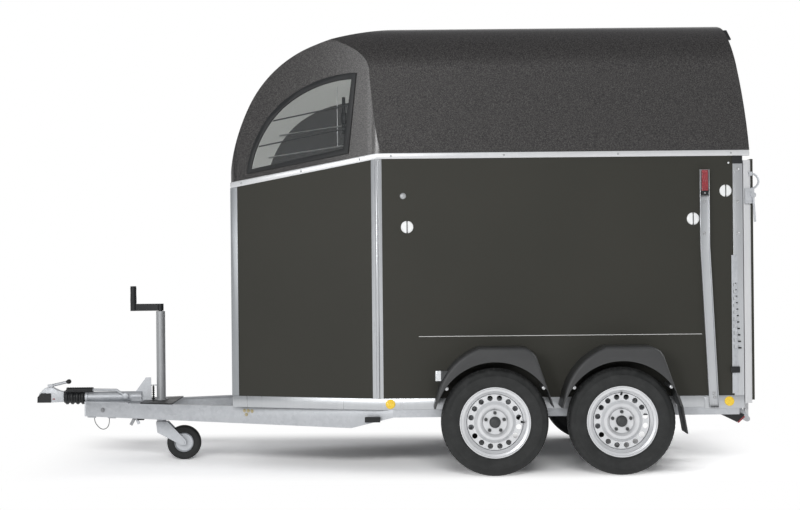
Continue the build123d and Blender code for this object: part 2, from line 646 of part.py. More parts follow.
def door_outline(gap=0.0):
    """Outline of the doorway on the right slanted side; gap makes the door smaller."""
    front = DOOR_SIDE_MARGIN + gap
    rear = CHEEK_LENGTH - DOOR_SIDE_MARGIN - gap
    low = SILL_TOP + DOOR_MARGIN / 2 + gap
    slope = TRIM_DROP / CHEEK_LENGTH
    top = SIDE_TOP - TRIM_DROP - DOOR_MARGIN - gap
    points = [(front, low), (rear, low), (rear, top + rear * slope), (front, top + front * slope)]
    face = make_face(Polyline(*points, close=True))
    return fillet(face.vertices(), 45 - gap)


def build_door():
    """Door leaf, its hinges on the front edge and its handle."""
    leaf_out = 12
    leaf = cheek_solid(1, door_outline(DOOR_GAP), leaf_out - DOOR_THICKNESS, leaf_out)
    save("front_door", leaf)
    axis_x = DOOR_SIDE_MARGIN - 10
    axis = cheek_plane(1, DOOR_AXIS_OUT).from_local_coords(Vector(axis_x, 0, 0))

    def upright(radius, low, high):
        return rod(radius, (axis.X, axis.Y, low), (axis.X, axis.Y, high))

    straps = []
    plates = []
    for z in (SILL_TOP + 190, SIDE_TOP - TRIM_DROP - 260):
        strap = cheek_solid(1, Pos(axis_x + 75, z) * Rectangle(150, 36), leaf_out + 0.3, DOOR_AXIS_OUT + 3)
        strap -= upright(9, z - 30, z + 30)
        strap += upright(9, z - 18, z + 18)
        strap -= upright(5.4, z - 19, z + 19)
        straps.append(strap)
        plate = cheek_solid(1, Pos(axis_x - 22, z) * Rectangle(40, 88), TRIM_PROUD + 0.3, DOOR_AXIS_OUT - 2)
        plate -= upright(11, z - 19, z + 19)
        for low, high in ((z - 44, z - 19), (z + 19, z + 44)):
            plate += upright(9, low, high)
        plate += upright(5, z - 19, z + 19)
        plates.append(plate)
    save("door_hinge_plates", plates)
    latch_x = CHEEK_LENGTH - DOOR_SIDE_MARGIN - 50
    latch = cheek_solid(1, Pos(latch_x, 1180) * Rectangle(50, 130), leaf_out, leaf_out + 10)
    latch += cheek_solid(1, Pos(latch_x, 1150) * Rectangle(24, 120), leaf_out + 9, leaf_out + 32)
    save("door_fittings", straps, latch)


def build_ramp():
    x_in = REAR_X + RAMP_GAP
    x_out = x_in + RAMP_THICKNESS
    frame = block((x_in, x_out), (-WALL_HALF, WALL_HALF), (RAMP_BOTTOM, RAMP_TOP))
    frame -= block((x_in - 1, x_out + 1), (-WALL_HALF + RAMP_FRAME, WALL_HALF - RAMP_FRAME),
                   (RAMP_BOTTOM + RAMP_FRAME, RAMP_TOP - RAMP_FRAME))
    hinges = [side * y for y in HINGE_Y for side in SIDES.values()]

    def on_axis(radius, y, half):
        return rod(radius, (RAMP_AXIS_X, y - half, RAMP_AXIS_Z), (RAMP_AXIS_X, y + half, RAMP_AXIS_Z))

    for y in hinges:
        frame += block((RAMP_AXIS_X - 16, RAMP_AXIS_X + 6), (y - HINGE_EYE, y + HINGE_EYE),
                       (RAMP_AXIS_Z, RAMP_BOTTOM))
        frame += on_axis(16, y, HINGE_EYE)
        frame -= on_axis(HINGE_PIN + 0.5, y, HINGE_EYE + 5)
    save("ramp_frame", frame)
    inner = (-WALL_HALF + RAMP_FRAME, WALL_HALF - RAMP_FRAME)
    board = block((x_in + 8, x_out), inner, (RAMP_BOTTOM + RAMP_FRAME, RAMP_TOP - RAMP_FRAME))
    skin = block((x_out, x_out + RAMP_SKIN), (-WALL_HALF - 5, WALL_HALF + 5),
                 (RAMP_BOTTOM + 20, RAMP_TOP + 6))
    save("ramp_board", board + skin)
    mat = block((x_in + 3, x_in + 8), inner, (RAMP_BOTTOM + RAMP_FRAME, RAMP_TOP - RAMP_FRAME))
    steps = 9
    rise = (RAMP_TOP - RAMP_BOTTOM - 2 * RAMP_FRAME) / steps
    for i in range(steps):
        z = RAMP_BOTTOM + RAMP_FRAME + (i + 0.5) * rise
        mat += block((x_in - 7, x_in + 8), (inner[0] + 40, inner[1] - 40), (z - 12, z + 12))
    save("ramp_mat", mat)

    ear = [(REAR_X - 90, SILL_BOTTOM), (REAR_X - 90, SILL_BOTTOM - 30), (RAMP_AXIS_X - 10, RAMP_AXIS_Z - 14),
           (RAMP_AXIS_X + 13, RAMP_AXIS_Z - 4), (RAMP_AXIS_X + 10, RAMP_AXIS_Z + 12),
           (REAR_X - 10, SILL_BOTTOM)]
    ear_in = HINGE_EYE + 3
    brackets = []
    for y in hinges:
        brackets.append(side_polygon(ear, y - ear_in, y - ear_in - HINGE_EAR))
        brackets.append(side_polygon(ear, y + ear_in + HINGE_EAR, y + ear_in))
        brackets.append(on_axis(HINGE_PIN, y, ear_in))
    save("ramp_hinges", brackets)


def along_x(solid, x, z):
    """Lay a solid that was turned round Z along X, at the middle plane."""
    return Pos(x, 0, z) * Rot(0, 90, 0) * solid


def build_coupling():
    """Overrun housing, coupling head with its ball socket, bellows and the levers."""
    slope = (WALL_HALF - DRAWBAR_HALF) / (DRAWBAR_END - DRAWBAR_X)
    bellows_rear = BELLOWS_FRONT + BELLOWS_LENGTH
    tube = rod(HOUSING_RADIUS, (bellows_rear, 0, COUPLING_Z), (HOUSING_END, 0, COUPLING_Z))
    tube += rod(HOUSING_RADIUS + 8, (bellows_rear, 0, COUPLING_Z), (bellows_rear + 16, 0, COUPLING_Z))
    base_rear = HOUSING_END - 66
    half_rear = DRAWBAR_HALF + (base_rear - DRAWBAR_X) * slope
    plan = make_face(Polyline((DRAWBAR_X, -DRAWBAR_HALF), (base_rear, -half_rear),
                              (base_rear, half_rear), (DRAWBAR_X, DRAWBAR_HALF), close=True))
    housing = tube + Pos(0, 0, DRAWBAR_TOP) * extrude(plan, PLATE)
    housing += block((DRAWBAR_X - 9, DRAWBAR_X), (-DRAWBAR_HALF, DRAWBAR_HALF),
                     (DRAWBAR_LOW, DRAWBAR_TOP + PLATE))
    plate_front = JOCKEY_X - JOCKEY_SEAT - 5
    on_plate = JOCKEY_TUBE_BOTTOM + 0.3
    gusset = [(HOUSING_END - 46, COUPLING_Z), (HOUSING_END - 40, COUPLING_Z + 31),
              (HOUSING_END + 26, COUPLING_Z + 120), (HOUSING_END + 58, COUPLING_Z + 120),
              (HOUSING_END + 62, on_plate), (plate_front, on_plate), (plate_front, DRAWBAR_TOP + PLATE),
              (HOUSING_END - 46, DRAWBAR_TOP + PLATE)]
    housing += side_polygon(gusset, 5, -5)
    housing -= rod(SHAFT_RADIUS + 0.5, (bellows_rear - 1, 0, COUPLING_Z), (HOUSING_END - 60, 0, COUPLING_Z))
    save("overrun_housing", housing)

    head_low = COUPLING_Z - 34
    nose = NOSE_X + NOSE_CAP
    side = [(nose, COUPLING_Z - 22), (nose + 8, COUPLING_Z + 24), (BALL_X, COUPLING_Z + 58),
            (BALL_X + 44, COUPLING_Z + 64), (BALL_X + 90, COUPLING_Z + 40), (BELLOWS_FRONT, COUPLING_Z + 33),
            (BELLOWS_FRONT, COUPLING_Z - 31), (BALL_X + 40, head_low), (nose + 12, head_low)]
    head = fillet(side_polygon(side, 31, -31).edges().filter_by(Axis.Y), 6)
    bulge = Pos(BALL_X, 0, COUPLING_Z - 6) * Sphere(38)
    head += bulge - block((-FAR, FAR), (-FAR, FAR), (0, head_low))
    cap_rear = NOSE_X + 90
    cap_side = [(NOSE_X, head_low), (NOSE_X + 2, COUPLING_Z + 19), (NOSE_X + 18, COUPLING_Z + 27),
                (cap_rear, COUPLING_Z + 25), (cap_rear, head_low)]
    cap = side_polygon(cap_side, NOSE_CAP_HALF, -NOSE_CAP_HALF)
    front_edges = cap.edges().filter_by(lambda edge: edge.center().X < NOSE_X + 20 and edge.center().Y != 0)
    cap = fillet(front_edges.filter_by(lambda edge: edge.center().Z < COUPLING_Z + 20), 14)
    save("nose_cap", cap - head)
    head += rod(SHAFT_RADIUS, (BELLOWS_FRONT, 0, COUPLING_Z), (BELLOWS_FRONT + 330, 0, COUPLING_Z))
    socket_z = COUPLING_Z - 10
    head -= Pos(BALL_X, 0, socket_z) * Sphere(BALL_RADIUS)
    head -= rod(BALL_RADIUS, (BALL_X, 0, socket_z), (BALL_X, 0, COUPLING_Z - 50))
    save("coupling_head", head)

    folds = 4
    pitch = BELLOWS_LENGTH / folds
    skin = [(SHAFT_RADIUS + 4, 0), (BELLOWS_RADIUS - 9, 0)]
    for i in range(folds):
        skin += [(BELLOWS_RADIUS - 9, (i + 0.1) * pitch), (BELLOWS_RADIUS, (i + 0.35) * pitch),
                 (BELLOWS_RADIUS, (i + 0.65) * pitch), (BELLOWS_RADIUS - 9, (i + 0.9) * pitch)]
    skin += [(BELLOWS_RADIUS - 9, BELLOWS_LENGTH), (SHAFT_RADIUS + 4, BELLOWS_LENGTH)]
    save("bellows", along_x(turned(skin), BELLOWS_FRONT, COUPLING_Z))

    pivot = (BALL_X + 36, COUPLING_Z + 60)
    lever = rod(9, (pivot[0], 0, pivot[1] + 12), (pivot[0] + 112, 0, pivot[1] + 37))
    lever += Pos(pivot[0] + 112, 0, pivot[1] + 37) * Sphere(14)
    lever += block((pivot[0] - 20, pivot[0] + 14), (-14, 14), (pivot[1] + 4.2, pivot[1] + 20))
    save("coupling_handle", lever)

    brake_y = -HOUSING_RADIUS - 22
    grip_end = (BALL_X + 319, brake_y, COUPLING_Z + 48)
    knee = (BALL_X + 466, brake_y, COUPLING_Z + 45)
    pivot_x, pivot_z = BALL_X + 524, COUPLING_Z + 6
    brake = rod(15, (BALL_X + 147, brake_y, COUPLING_Z + 48), grip_end)
    brake += rod(8, (grip_end[0] - 1, brake_y, COUPLING_Z + 48), knee)
    brake += rod(8, knee, (pivot_x, brake_y, pivot_z))
    brake += Pos(*knee) * Sphere(8)
    brake += rod(18, (pivot_x, brake_y - 10, pivot_z), (pivot_x, -HOUSING_RADIUS - 0.3, pivot_z))
    save("handbrake_lever", brake)


def build_jockey():
    """Outer tube with its crank, sliding leg, swivelling fork and small wheel."""
    x = JOCKEY_X
    bore = JOCKEY_LEG_RADIUS + 0.8
    base = JOCKEY_TUBE_BOTTOM
    top = JOCKEY_TUBE_TOP
    radius = JOCKEY_TUBE_RADIUS
    tube = turned([(bore, base), (radius + 14, base), (radius + 14, base + 9), (radius, base + 9),
                   (radius, top), (0, top), (0, top - 8), (bore, top - 8)])
    save("jockey_tube", Pos(x, 0, 0) * tube)
    arm = block((x - CRANK_REACH, x), (-11, 11), (top + 3, top + 48))
    for end in (x - CRANK_REACH, x):
        arm += rod(20, (end, 0, top + 3), (end, 0, top + 48))
    arm += rod(12, (x, 0, top), (x, 0, top + 4))
    arm += rod(19, (x - CRANK_REACH, 0, top + 47), (x - CRANK_REACH, 0, top + 162))
    save("jockey_crank", arm)

    leg = turned([(JOCKEY_LEG_RADIUS - 4, JOCKEY_LEG_BOTTOM), (JOCKEY_LEG_RADIUS, JOCKEY_LEG_BOTTOM),
                  (JOCKEY_LEG_RADIUS, JOCKEY_LEG_TOP), (JOCKEY_LEG_RADIUS - 4, JOCKEY_LEG_TOP)])
    save("jockey_leg", Pos(x, 0, 0) * leg)

    cheek = JOCKEY_WIDTH / 2 + 5
    axle_x = x + JOCKEY_TRAIL
    axle_z = JOCKEY_WHEEL_RADIUS
    head_top = JOCKEY_LEG_BOTTOM - 0.3
    fork = rod(30, (x, 0, head_top - 22), (x, 0, head_top))
    fork += block((x - 30, x + 42), (-cheek - 5, cheek + 5), (head_top - 40, head_top - 16))
    outline = [(x - 30, head_top - 16), (x + 42, head_top - 16), (axle_x + 16, axle_z + 14),
               (axle_x + 16, axle_z - 14), (axle_x - 10, axle_z - 18), (x - 24, head_top - 86)]
    fork += side_polygon(outline, cheek + 5, cheek)
    fork += side_polygon(outline, -cheek, -cheek - 5)
    fork += rod(7, (axle_x, -cheek - 9, axle_z), (axle_x, cheek + 9, axle_z))
    save("jockey_fork", fork)

    half = JOCKEY_WIDTH / 2
    bowl = JOCKEY_RIM_RADIUS - 8
    rim = turned([(7.6, -half), (16, -half), (16, -6), (bowl, -6), (JOCKEY_RIM_RADIUS, -half + 6),
                  (JOCKEY_RIM_RADIUS, half - 6), (bowl, 6), (16, 6), (16, half), (7.6, half)])
    radius = JOCKEY_WHEEL_RADIUS
    tyre = turned([(JOCKEY_RIM_RADIUS + 0.3, -half + 6), (radius - 20, -half), (radius, -half + 11),
                   (radius, half - 11), (radius - 20, half), (JOCKEY_RIM_RADIUS + 0.3, half - 6)])
    place = Pos(axle_x, 0, axle_z) * Rot(90, 0, 0)
    save("jockey_rim", place * rim)
    save("jockey_tyre", place * tyre)


def build_interior():
    """Partition between the two stalls, its posts and the breast and rear bars."""
    bar_radius = 22
    post_radius = 27
    inside = WALL_HALF - WALL
    front_x, front_z = BREAST_BAR
    rear_x, rear_z = REAR_BAR
    front_top, rear_top = SIDE_TOP + 104, SIDE_TOP - 16
    board_low = FLOOR_TOP + 450
    posts = [rod(post_radius, (front_x, 0, FLOOR_TOP), (front_x, 0, front_top)),
             rod(post_radius, (rear_x, 0, FLOOR_TOP), (rear_x, 0, rear_top))]
    board = [(front_x + post_radius, board_low), (rear_x - post_radius, board_low),
             (rear_x - post_radius, rear_top - 60), (rear_x - 300, rear_top), (front_x + 260, front_top - 20),
             (front_x + post_radius, front_top - 20)]
    save("partition", side_polygon(board, 18, -18))
    bars = []
    for x, z in (BREAST_BAR, REAR_BAR):
        bars += both(rod(bar_radius, (x, -inside, z), (x, -post_radius, z)))
    save("stall_bars", posts, bars)
    caps = []
    for x, z, radius in WALL_CAPS:
        caps += both(rod(radius, (x, -WALL_HALF - CAP_DEPTH, z), (x, -WALL_HALF, z)))
    save("wall_caps", caps)


def build_rear_details():
    """Kicked channels with their lamps, slotted strips, lamps, reflectors and latches."""
    wall_y = -WALL_HALF - SILL_PROUD
    metal = 4

    def along_channel(z_low, z_high, half):
        """Outline of a strip that follows the channel's bent middle line."""
        kick = CHANNEL_KICK / (CHANNEL_KNEE - SILL_BOTTOM)
        heights = [z_low] + [z for z in (CHANNEL_KNEE,) if z_low < z < z_high] + [z_high]
        line = [(CHANNEL_X + kick * max(CHANNEL_KNEE - z, 0), z) for z in heights]
        return [(x - half, z) for x, z in line] + [(x + half, z) for x, z in reversed(line)]

    outer = along_channel(SILL_BOTTOM, CHANNEL_TOP, CHANNEL_WIDTH / 2)
    inner = along_channel(SILL_BOTTOM - 1, CHANNEL_TOP + 1, CHANNEL_WIDTH / 2 - metal)
    channel = side_polygon(outer, wall_y, wall_y - CHANNEL_DEPTH)
    channel -= side_polygon(inner, wall_y - metal, wall_y - CHANNEL_DEPTH - 1)
    channel += block((CHANNEL_X - 8, REAR_X), (wall_y - CORNER_PLATE, wall_y),
                     (SILL_BOTTOM - 8, SILL_TOP - 7))
    save("side_channels", both(channel))
    lens_half = CHANNEL_WIDTH / 2 - metal - 6
    high_lens = side_polygon(along_channel(CHANNEL_TOP - 150, CHANNEL_TOP - 4, lens_half), wall_y - metal,
                             wall_y - CHANNEL_DEPTH - metal)

    post_y = -WALL_HALF - TRIM_PROUD
    strip_x = REAR_X - 71
    strip_top = SLOT_LOW + SLOTS * SLOT_PITCH + 146
    catch_z = SLOT_LOW - 125
    strip = block((strip_x, strip_x + 36), (post_y - 4, post_y), (SILL_TOP + 12, strip_top))
    for i in range(SLOTS):
        z = SLOT_LOW + i * SLOT_PITCH
        strip -= block((strip_x + 10, strip_x + 30), (post_y - 5, post_y + 1), (z, z + SLOT_PITCH / 2))
    strip += block((strip_x - 8, strip_x + 42), (post_y - 24, post_y - 4), (catch_z - 17, catch_z + 17))
    save("slotted_strips", both(strip))

    reflectors = []
    for x in REFLECTORS_X:
        z = SILL_BOTTOM + SILL_HEIGHT / 2
        seat = CORNER_PLATE if x > CHANNEL_X else 0
        reflectors += both(rod(REFLECTOR_RADIUS, (x, wall_y - seat - 9, z), (x, wall_y - seat, z)))
    save("side_reflectors", reflectors)

    lamp_top = RAIL_BOTTOM - 0.3
    carrier = [(REAR_X - 140, lamp_top), (REAR_X - 45, LAMP_LOW), (REAR_X, LAMP_LOW + 40), (REAR_X, lamp_top)]
    save("lamp_carriers", both(side_polygon(carrier, -LAMP_Y, -WALL_HALF + 2)))
    lens = [(REAR_X - 41, LAMP_LOW + 1), (REAR_X - 2, LAMP_LOW + 37), (REAR_X + 4, LAMP_LOW + 30),
            (REAR_X - 35, LAMP_LOW - 6)]
    save("red_lamps", both(side_polygon(lens, -LAMP_Y - 5, -WALL_HALF + 7)), both(high_lens))

    guard_front = AXLES["front"] - GUARD_FRONT
    lamp = block((guard_front + 10, guard_front + 150), (-WALL_HALF - 232, -WALL_HALF - 180),
                 (GUARD_FOOT + 162, GUARD_FOOT + 222))
    lamp -= side_face(guard_outline(AXLES["front"], -0.3), 0, -FAR)
    save("marker_lamps", both(lamp))

    ramp_out = REAR_X + RAMP_GAP + RAMP_THICKNESS + RAMP_SKIN
    edge_y = -WALL_HALF - 5
    bow_x, bow_z, bow_r = ramp_out - 12, RAMP_TOP - 126, 44
    pivot_z = RAMP_TOP - 209
    ring = Plane(origin=(bow_x, edge_y - 8, bow_z + bow_r), x_dir=(0, 1, 0), z_dir=(1, 0, 0)) * Circle(6)
    bow = revolve(ring, Axis((bow_x, edge_y - 8, bow_z), (0, 1, 0)), 180)
    body = block((ramp_out - 50, ramp_out + 4), (edge_y - 22, edge_y), (pivot_z - 50, pivot_z + 40))
    lever = rod(7, (ramp_out - 4, edge_y - 30, pivot_z), (ramp_out + 6, edge_y - 30, pivot_z - 160))
    lever += rod(16, (ramp_out - 4, edge_y - 38, pivot_z), (ramp_out - 4, edge_y - 21, pivot_z))
    foot = block((bow_x - 14, bow_x + 6), (edge_y - 16, edge_y), (bow_z + bow_r - 12, bow_z + bow_r + 12))
    save("ramp_latches", both(bow + foot + body + lever))


def build_hood_details():
    """Bars behind the windows and the rolled-up curtain of the rear opening."""
    inside = HOOD_PROUD - HOOD_WALL - BAR_RADIUS - 0.3
    slope = TRIM_DROP / CHEEK_LENGTH
    bars = []
    for side in SIDES.values():
        plane = cheek_plane(side, inside)
        for rise, *ends in WINDOW_BARS:
            z_front = HOOD_FOOT - TRIM_DROP + rise * (HOOD_TOP - HOOD_FOOT)
            start, end = [share * CHEEK_LENGTH for share in ends]
            low = plane.from_local_coords(Vector(start, z_front + slope * start, 0))
            high = plane.from_local_coords(Vector(end, z_front + slope * end, 0))
            bars.append(rod(BAR_RADIUS, low, high))
    save("window_bars", bars)
    x = HOOD_REAR - CURTAIN_BACK
    z = HOOD_TOP - TAIL_BEND - CURTAIN_SHARE * (HOOD_TOP - HOOD_FOOT)
    save("curtain_roll", rod(CURTAIN_RADIUS, (x, -CURTAIN_HALF, z), (x, CURTAIN_HALF, z)))


build_chassis()
build_cable()
build_axles()
build_wheels()
build_mudguards()
build_body()
build_hood()
build_hood_details()
build_door()
build_interior()
build_ramp()
build_rear_details()
build_coupling()
build_jockey()
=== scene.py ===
import json
import math

import bmesh
import bpy
from mathutils import Matrix, Vector

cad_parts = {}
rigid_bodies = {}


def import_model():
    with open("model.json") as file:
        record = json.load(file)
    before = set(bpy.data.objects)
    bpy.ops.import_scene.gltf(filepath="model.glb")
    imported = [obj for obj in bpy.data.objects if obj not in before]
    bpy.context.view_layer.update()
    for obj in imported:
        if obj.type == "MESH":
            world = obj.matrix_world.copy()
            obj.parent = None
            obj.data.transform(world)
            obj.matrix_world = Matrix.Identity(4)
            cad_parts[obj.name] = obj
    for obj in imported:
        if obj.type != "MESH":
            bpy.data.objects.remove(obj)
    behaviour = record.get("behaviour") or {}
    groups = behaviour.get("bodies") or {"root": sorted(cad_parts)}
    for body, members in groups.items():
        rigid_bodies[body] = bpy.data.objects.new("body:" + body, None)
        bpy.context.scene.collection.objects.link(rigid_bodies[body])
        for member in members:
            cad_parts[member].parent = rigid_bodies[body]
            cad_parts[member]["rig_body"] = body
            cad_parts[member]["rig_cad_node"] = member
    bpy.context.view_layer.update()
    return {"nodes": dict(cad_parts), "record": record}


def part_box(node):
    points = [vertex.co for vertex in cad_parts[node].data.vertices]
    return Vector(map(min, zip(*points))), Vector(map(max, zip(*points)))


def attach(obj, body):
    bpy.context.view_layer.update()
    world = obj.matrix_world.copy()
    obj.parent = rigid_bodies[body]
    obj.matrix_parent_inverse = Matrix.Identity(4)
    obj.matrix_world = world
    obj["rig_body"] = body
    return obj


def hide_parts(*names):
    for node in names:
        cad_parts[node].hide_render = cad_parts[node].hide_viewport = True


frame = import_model()
bpy.ops.object.select_all(action="DESELECT")

# Main places of the trailer, in metres: the coupling points to -X, the ramp to +X, and +Z is up.
WALL_Y = 0.850            # outer face of the side walls
CORNER_X = -0.036         # corner between the slanted front sides and the side walls
FRONT_X = -0.935          # front corner posts
FRONT_Y = 0.530
TRIM_DROP = 0.153         # fall of the moulding from the corner to the front
TRIM_PROUD = 0.004
TRIM_RIVETS_Z = 1.893
POST_FACE_Y = -0.855      # outer face of the left rear post and channel
CHANNEL_X = 1.916         # upper end of the slanted channel
AXLES = {"front": 0.650, "rear": 1.393}
SIDES = {"left": -1, "right": 1}
WHEEL_Y = 0.9725
WHEEL_Z = 0.317
JOCKEY_WHEEL = (-1.305, 0, 0.110)
CHEEK_TURN = math.atan2(WALL_Y - FRONT_Y, CORNER_X - FRONT_X)
CHEEK_LENGTH = math.hypot(WALL_Y - FRONT_Y, CORNER_X - FRONT_X)
CHEEK_SLOPE = TRIM_DROP / CHEEK_LENGTH
RAIL_X = -1.927           # front end of the left drawbar rail
RAIL_Y = 0.052
RAIL_TURN = math.atan2(WALL_Y - RAIL_Y, 0.054 - RAIL_X)
CABLE_EXIT_Z = 0.277      # underside of the cable's clips
CABLE_DIAMETER = 0.005
CURTAIN_X = 2.0524        # axis of the rolled-up curtain
CURTAIN_Z = 2.5120
CURTAIN_SHEET = (1.28, 0.795)
SLOTS = {row["node"]: row["material_slot"] for row in frame["record"]["subparts"]}

# The photograph's view, and the lamps: place, target, size, power and whether it shows in reflections
PICTURE_WIDTH = 800
CAMERA_PLACE = (0.161, -11.26, 1.3205)
CAMERA_ROLL = 0.0096
CAMERA_LENS = 78.63
CAMERA_SHIFT = (-10, -3)  # in pixels of the picture
LAMPS = (((0.5, -12.0, 4.8), (0, 0, 0.3), (4.0, 1.4), 640, False),
         ((-3.4, -10.4, 3.2), (-0.2, -0.8, 2.1), (1.6, 2.2), 210, True),
         ((-7.15, -10.6, 3.4), (-0.3, -0.8, 2.0), (2.4, 3.2), 130, True),
         ((5.5, -0.3, 3.4), (0.5, 0, 2.2), (2.0, 1.6), 90, True))


# Camera, light and floor

def make_camera():
    """The photograph's view: level, from far off the left side, with a slight roll."""
    bpy.ops.object.camera_add(location=CAMERA_PLACE, rotation=(math.pi / 2, CAMERA_ROLL, 0))
    camera = bpy.context.object
    camera.data.sensor_width = 36
    camera.data.lens = CAMERA_LENS
    camera.data.shift_x, camera.data.shift_y = (shift / PICTURE_WIDTH for shift in CAMERA_SHIFT)
    camera.data.clip_end = 200
    bpy.context.scene.camera = camera
    bpy.context.scene.view_settings.view_transform = "Standard"


def soft_lamp(place, target, size, power, mirrored):
    """A rectangular lamp that points at a target."""
    bpy.ops.object.light_add(type="AREA", location=place)
    lamp = bpy.context.object
    lamp.rotation_euler = (Vector(target) - Vector(place)).to_track_quat("-Z", "Y").to_euler()
    lamp.data.shape = "RECTANGLE"
    lamp.data.size, lamp.data.size_y = size
    lamp.data.energy = power
    lamp.visible_glossy = mirrored


class Value:
    """A shader socket that can stand in Python sums."""

    def __init__(self, finish, socket):
        self.finish = finish
        self.socket = socket

    def math(self, operation, *others):
        sockets = {0: self, **dict(enumerate(others, 1))}
        return self.finish.node("ShaderNodeMath", {"operation": operation}, sockets)

    def __add__(self, other):
        return self.math("ADD", other)

    __radd__ = __add__

    def __sub__(self, other):
        return self.math("SUBTRACT", other)

    def __rsub__(self, other):
        return self.finish.node("ShaderNodeMath", {"operation": "SUBTRACT"}, {0: other, 1: self})

    def __mul__(self, other):
        return self.math("MULTIPLY", other)

    __rmul__ = __mul__

    def clamped(self):
        return self.finish.node("ShaderNodeClamp", {}, {0: self})

    def span(self, low, high, to_low=0.0, to_high=1.0):
        """Map low..high to to_low..to_high with soft ends."""
        return self.finish.node("ShaderNodeMapRange", {"interpolation_type": "SMOOTHSTEP"},
                                {0: self, 1: low, 2: high, 3: to_low, 4: to_high})


class Finish:
    """A node tree that is filled by one method, for a material or the world."""

    def __init__(self, tree):
        self.tree = tree
        tree.nodes.clear()

    def node(self, kind, settings=None, inputs=None, out=0):
        """Add a node: its settings first, then the values or links of its sockets."""
        made = self.tree.nodes.new(kind)
        for key, value in (settings or {}).items():
            setattr(made, key, value)
        for key, value in (inputs or {}).items():
            socket = made.inputs[key]
            if isinstance(value, Value):
                self.tree.links.new(value.socket, socket)
            else:
                if socket.type == "RGBA" and len(value) == 3:
                    value = (*value, 1)
                socket.default_value = value
        return Value(self, made.outputs[out])

    def mix(self, share, first, second):
        """Blend two colours."""
        return self.node("ShaderNodeMix", {"data_type": "RGBA"}, {0: share, 6: first, 7: second}, 2)

    def place(self, scale=(1, 1, 1)):
        """Object coordinates in metres, stretched by scale."""
        spot = self.node("ShaderNodeTexCoord", out="Object")
        if tuple(scale) == (1, 1, 1):
            return spot
        return self.node("ShaderNodeMapping", {}, {"Vector": spot, "Scale": scale})

    def axis(self, name, scale=(1, 1, 1)):
        """One of the Object coordinates."""
        return self.node("ShaderNodeSeparateXYZ", {}, {0: self.place(scale)}, name)

    def noise(self, scale, detail=2.0, rough=0.5, stretch=(1, 1, 1)):
        sockets = {"Vector": self.place(stretch), "Scale": scale, "Detail": detail, "Roughness": rough}
        return self.node("ShaderNodeTexNoise", {}, sockets)

    def cells(self, scale, out="Distance"):
        return self.node("ShaderNodeTexVoronoi", {}, {"Vector": self.place(), "Scale": scale}, out)

    def flakes(self, scale):
        """One even random level for each cell."""
        return self.node("ShaderNodeSeparateColor", {}, {0: self.cells(scale, "Color")})

    def bump(self, height, distance, strength=1.0):
        return self.node("ShaderNodeBump", {}, {"Height": height, "Distance": distance, "Strength": strength})

    def rays(self, *kinds):
        """1 for rays of these kinds, 0 for all others."""
        found = [self.node("ShaderNodeLightPath", out="Is " + kind + " Ray") for kind in kinds]
        return sum(found[1:], found[0]).clamped()

    def surface(self, **sockets):
        names = {"base": "Base Color", "rough": "Roughness", "metal": "Metallic", "normal": "Normal",
                 "coat": "Coat Weight", "coat_rough": "Coat Roughness", "alpha": "Alpha",
                 "specular": "Specular IOR Level"}
        return self.node("ShaderNodeBsdfPrincipled", {}, {names[k]: v for k, v in sockets.items()})

    def output(self, shader, kind="ShaderNodeOutputMaterial"):
        end = self.tree.nodes.new(kind)
        self.tree.links.new(shader.socket, end.inputs["Surface"])


def light_world():
    """A pale room for all that looks into it, white behind the trailer; its light is dimmer than it looks."""
    world = bpy.data.worlds.new("studio")
    bpy.context.scene.world = world
    world.use_nodes = True
    room = Finish(world.node_tree)
    white, dim_light = (1, 1, 1), (0.30, 0.30, 0.305)
    ceiling, near_wall, front_corner = (0.34, 0.34, 0.35), (0.26, 0.265, 0.27), (0.16, 0.17, 0.18)
    high = room.axis("Z").span(0.16, 0.75)
    forward = -1.0 * room.axis("X")
    near = -1.0 * room.axis("Y")
    look = room.mix(high, white, ceiling)
    look = room.mix(near.span(0.0, 0.3) * 0.6, look, near_wall)
    look = room.mix(forward.span(0.35, 0.75) * near.span(0.0, 0.2), look, front_corner)
    look = room.mix(room.rays("Camera"), look, white)
    shade = room.mix(room.rays("Camera", "Glossy", "Transmission"), dim_light, look)
    light = room.node("ShaderNodeBackground", {}, {"Color": shade, "Strength": 1.0})
    room.output(light, "ShaderNodeOutputWorld")


def make_floor():
    """A pale floor that keeps the trailer's shadow and turns pure white to the camera further out."""
    width, grey, bright = 120, (0.8, 0.8, 0.8), (1.8, 1.8, 1.8)
    bpy.ops.mesh.primitive_plane_add(size=width, location=(0, 0, 0))
    floor = bpy.context.object
    floor.name = "floor"
    material = bpy.data.materials.new("studio_floor")
    material.use_nodes = True
    f = Finish(material.node_tree)
    seen = f.rays("Camera", "Glossy", "Transmission")
    lit = f.node("ShaderNodeBsdfDiffuse", {}, {"Color": f.mix(seen, grey, bright)})
    white = f.node("ShaderNodeEmission", {}, {"Color": (1, 1, 1), "Strength": 1.0})
    centre, reach_x, reach_y = 0.15, 1.95, 0.95
    along = (f.axis("X") - centre).math("ABSOLUTE")
    across = (f.axis("Y") - centre).math("ABSOLUTE")
    clear = (along - reach_x).math("MAXIMUM", across - reach_y).span(-0.15, 0.55)
    f.output(f.node("ShaderNodeMixShader", {}, {0: clear * seen, 1: lit, 2: white}))
    floor.data.materials.append(material)


# Finishes

def galvanised(f):
    """Hot-dip zinc: bluish grey spangle with dull patches."""
    spangle = f.flakes(55)
    grain = f.noise(14, 5, 0.6)
    shade = spangle * 0.35 + grain * 0.65
    base = f.mix(shade, (0.44, 0.46, 0.485), (0.64, 0.655, 0.68))
    return f.surface(base=base, metal=0.55, rough=shade.span(0.2, 0.8, 0.42, 0.58),
                     normal=f.bump(spangle * 0.4 + grain, 0.0008))


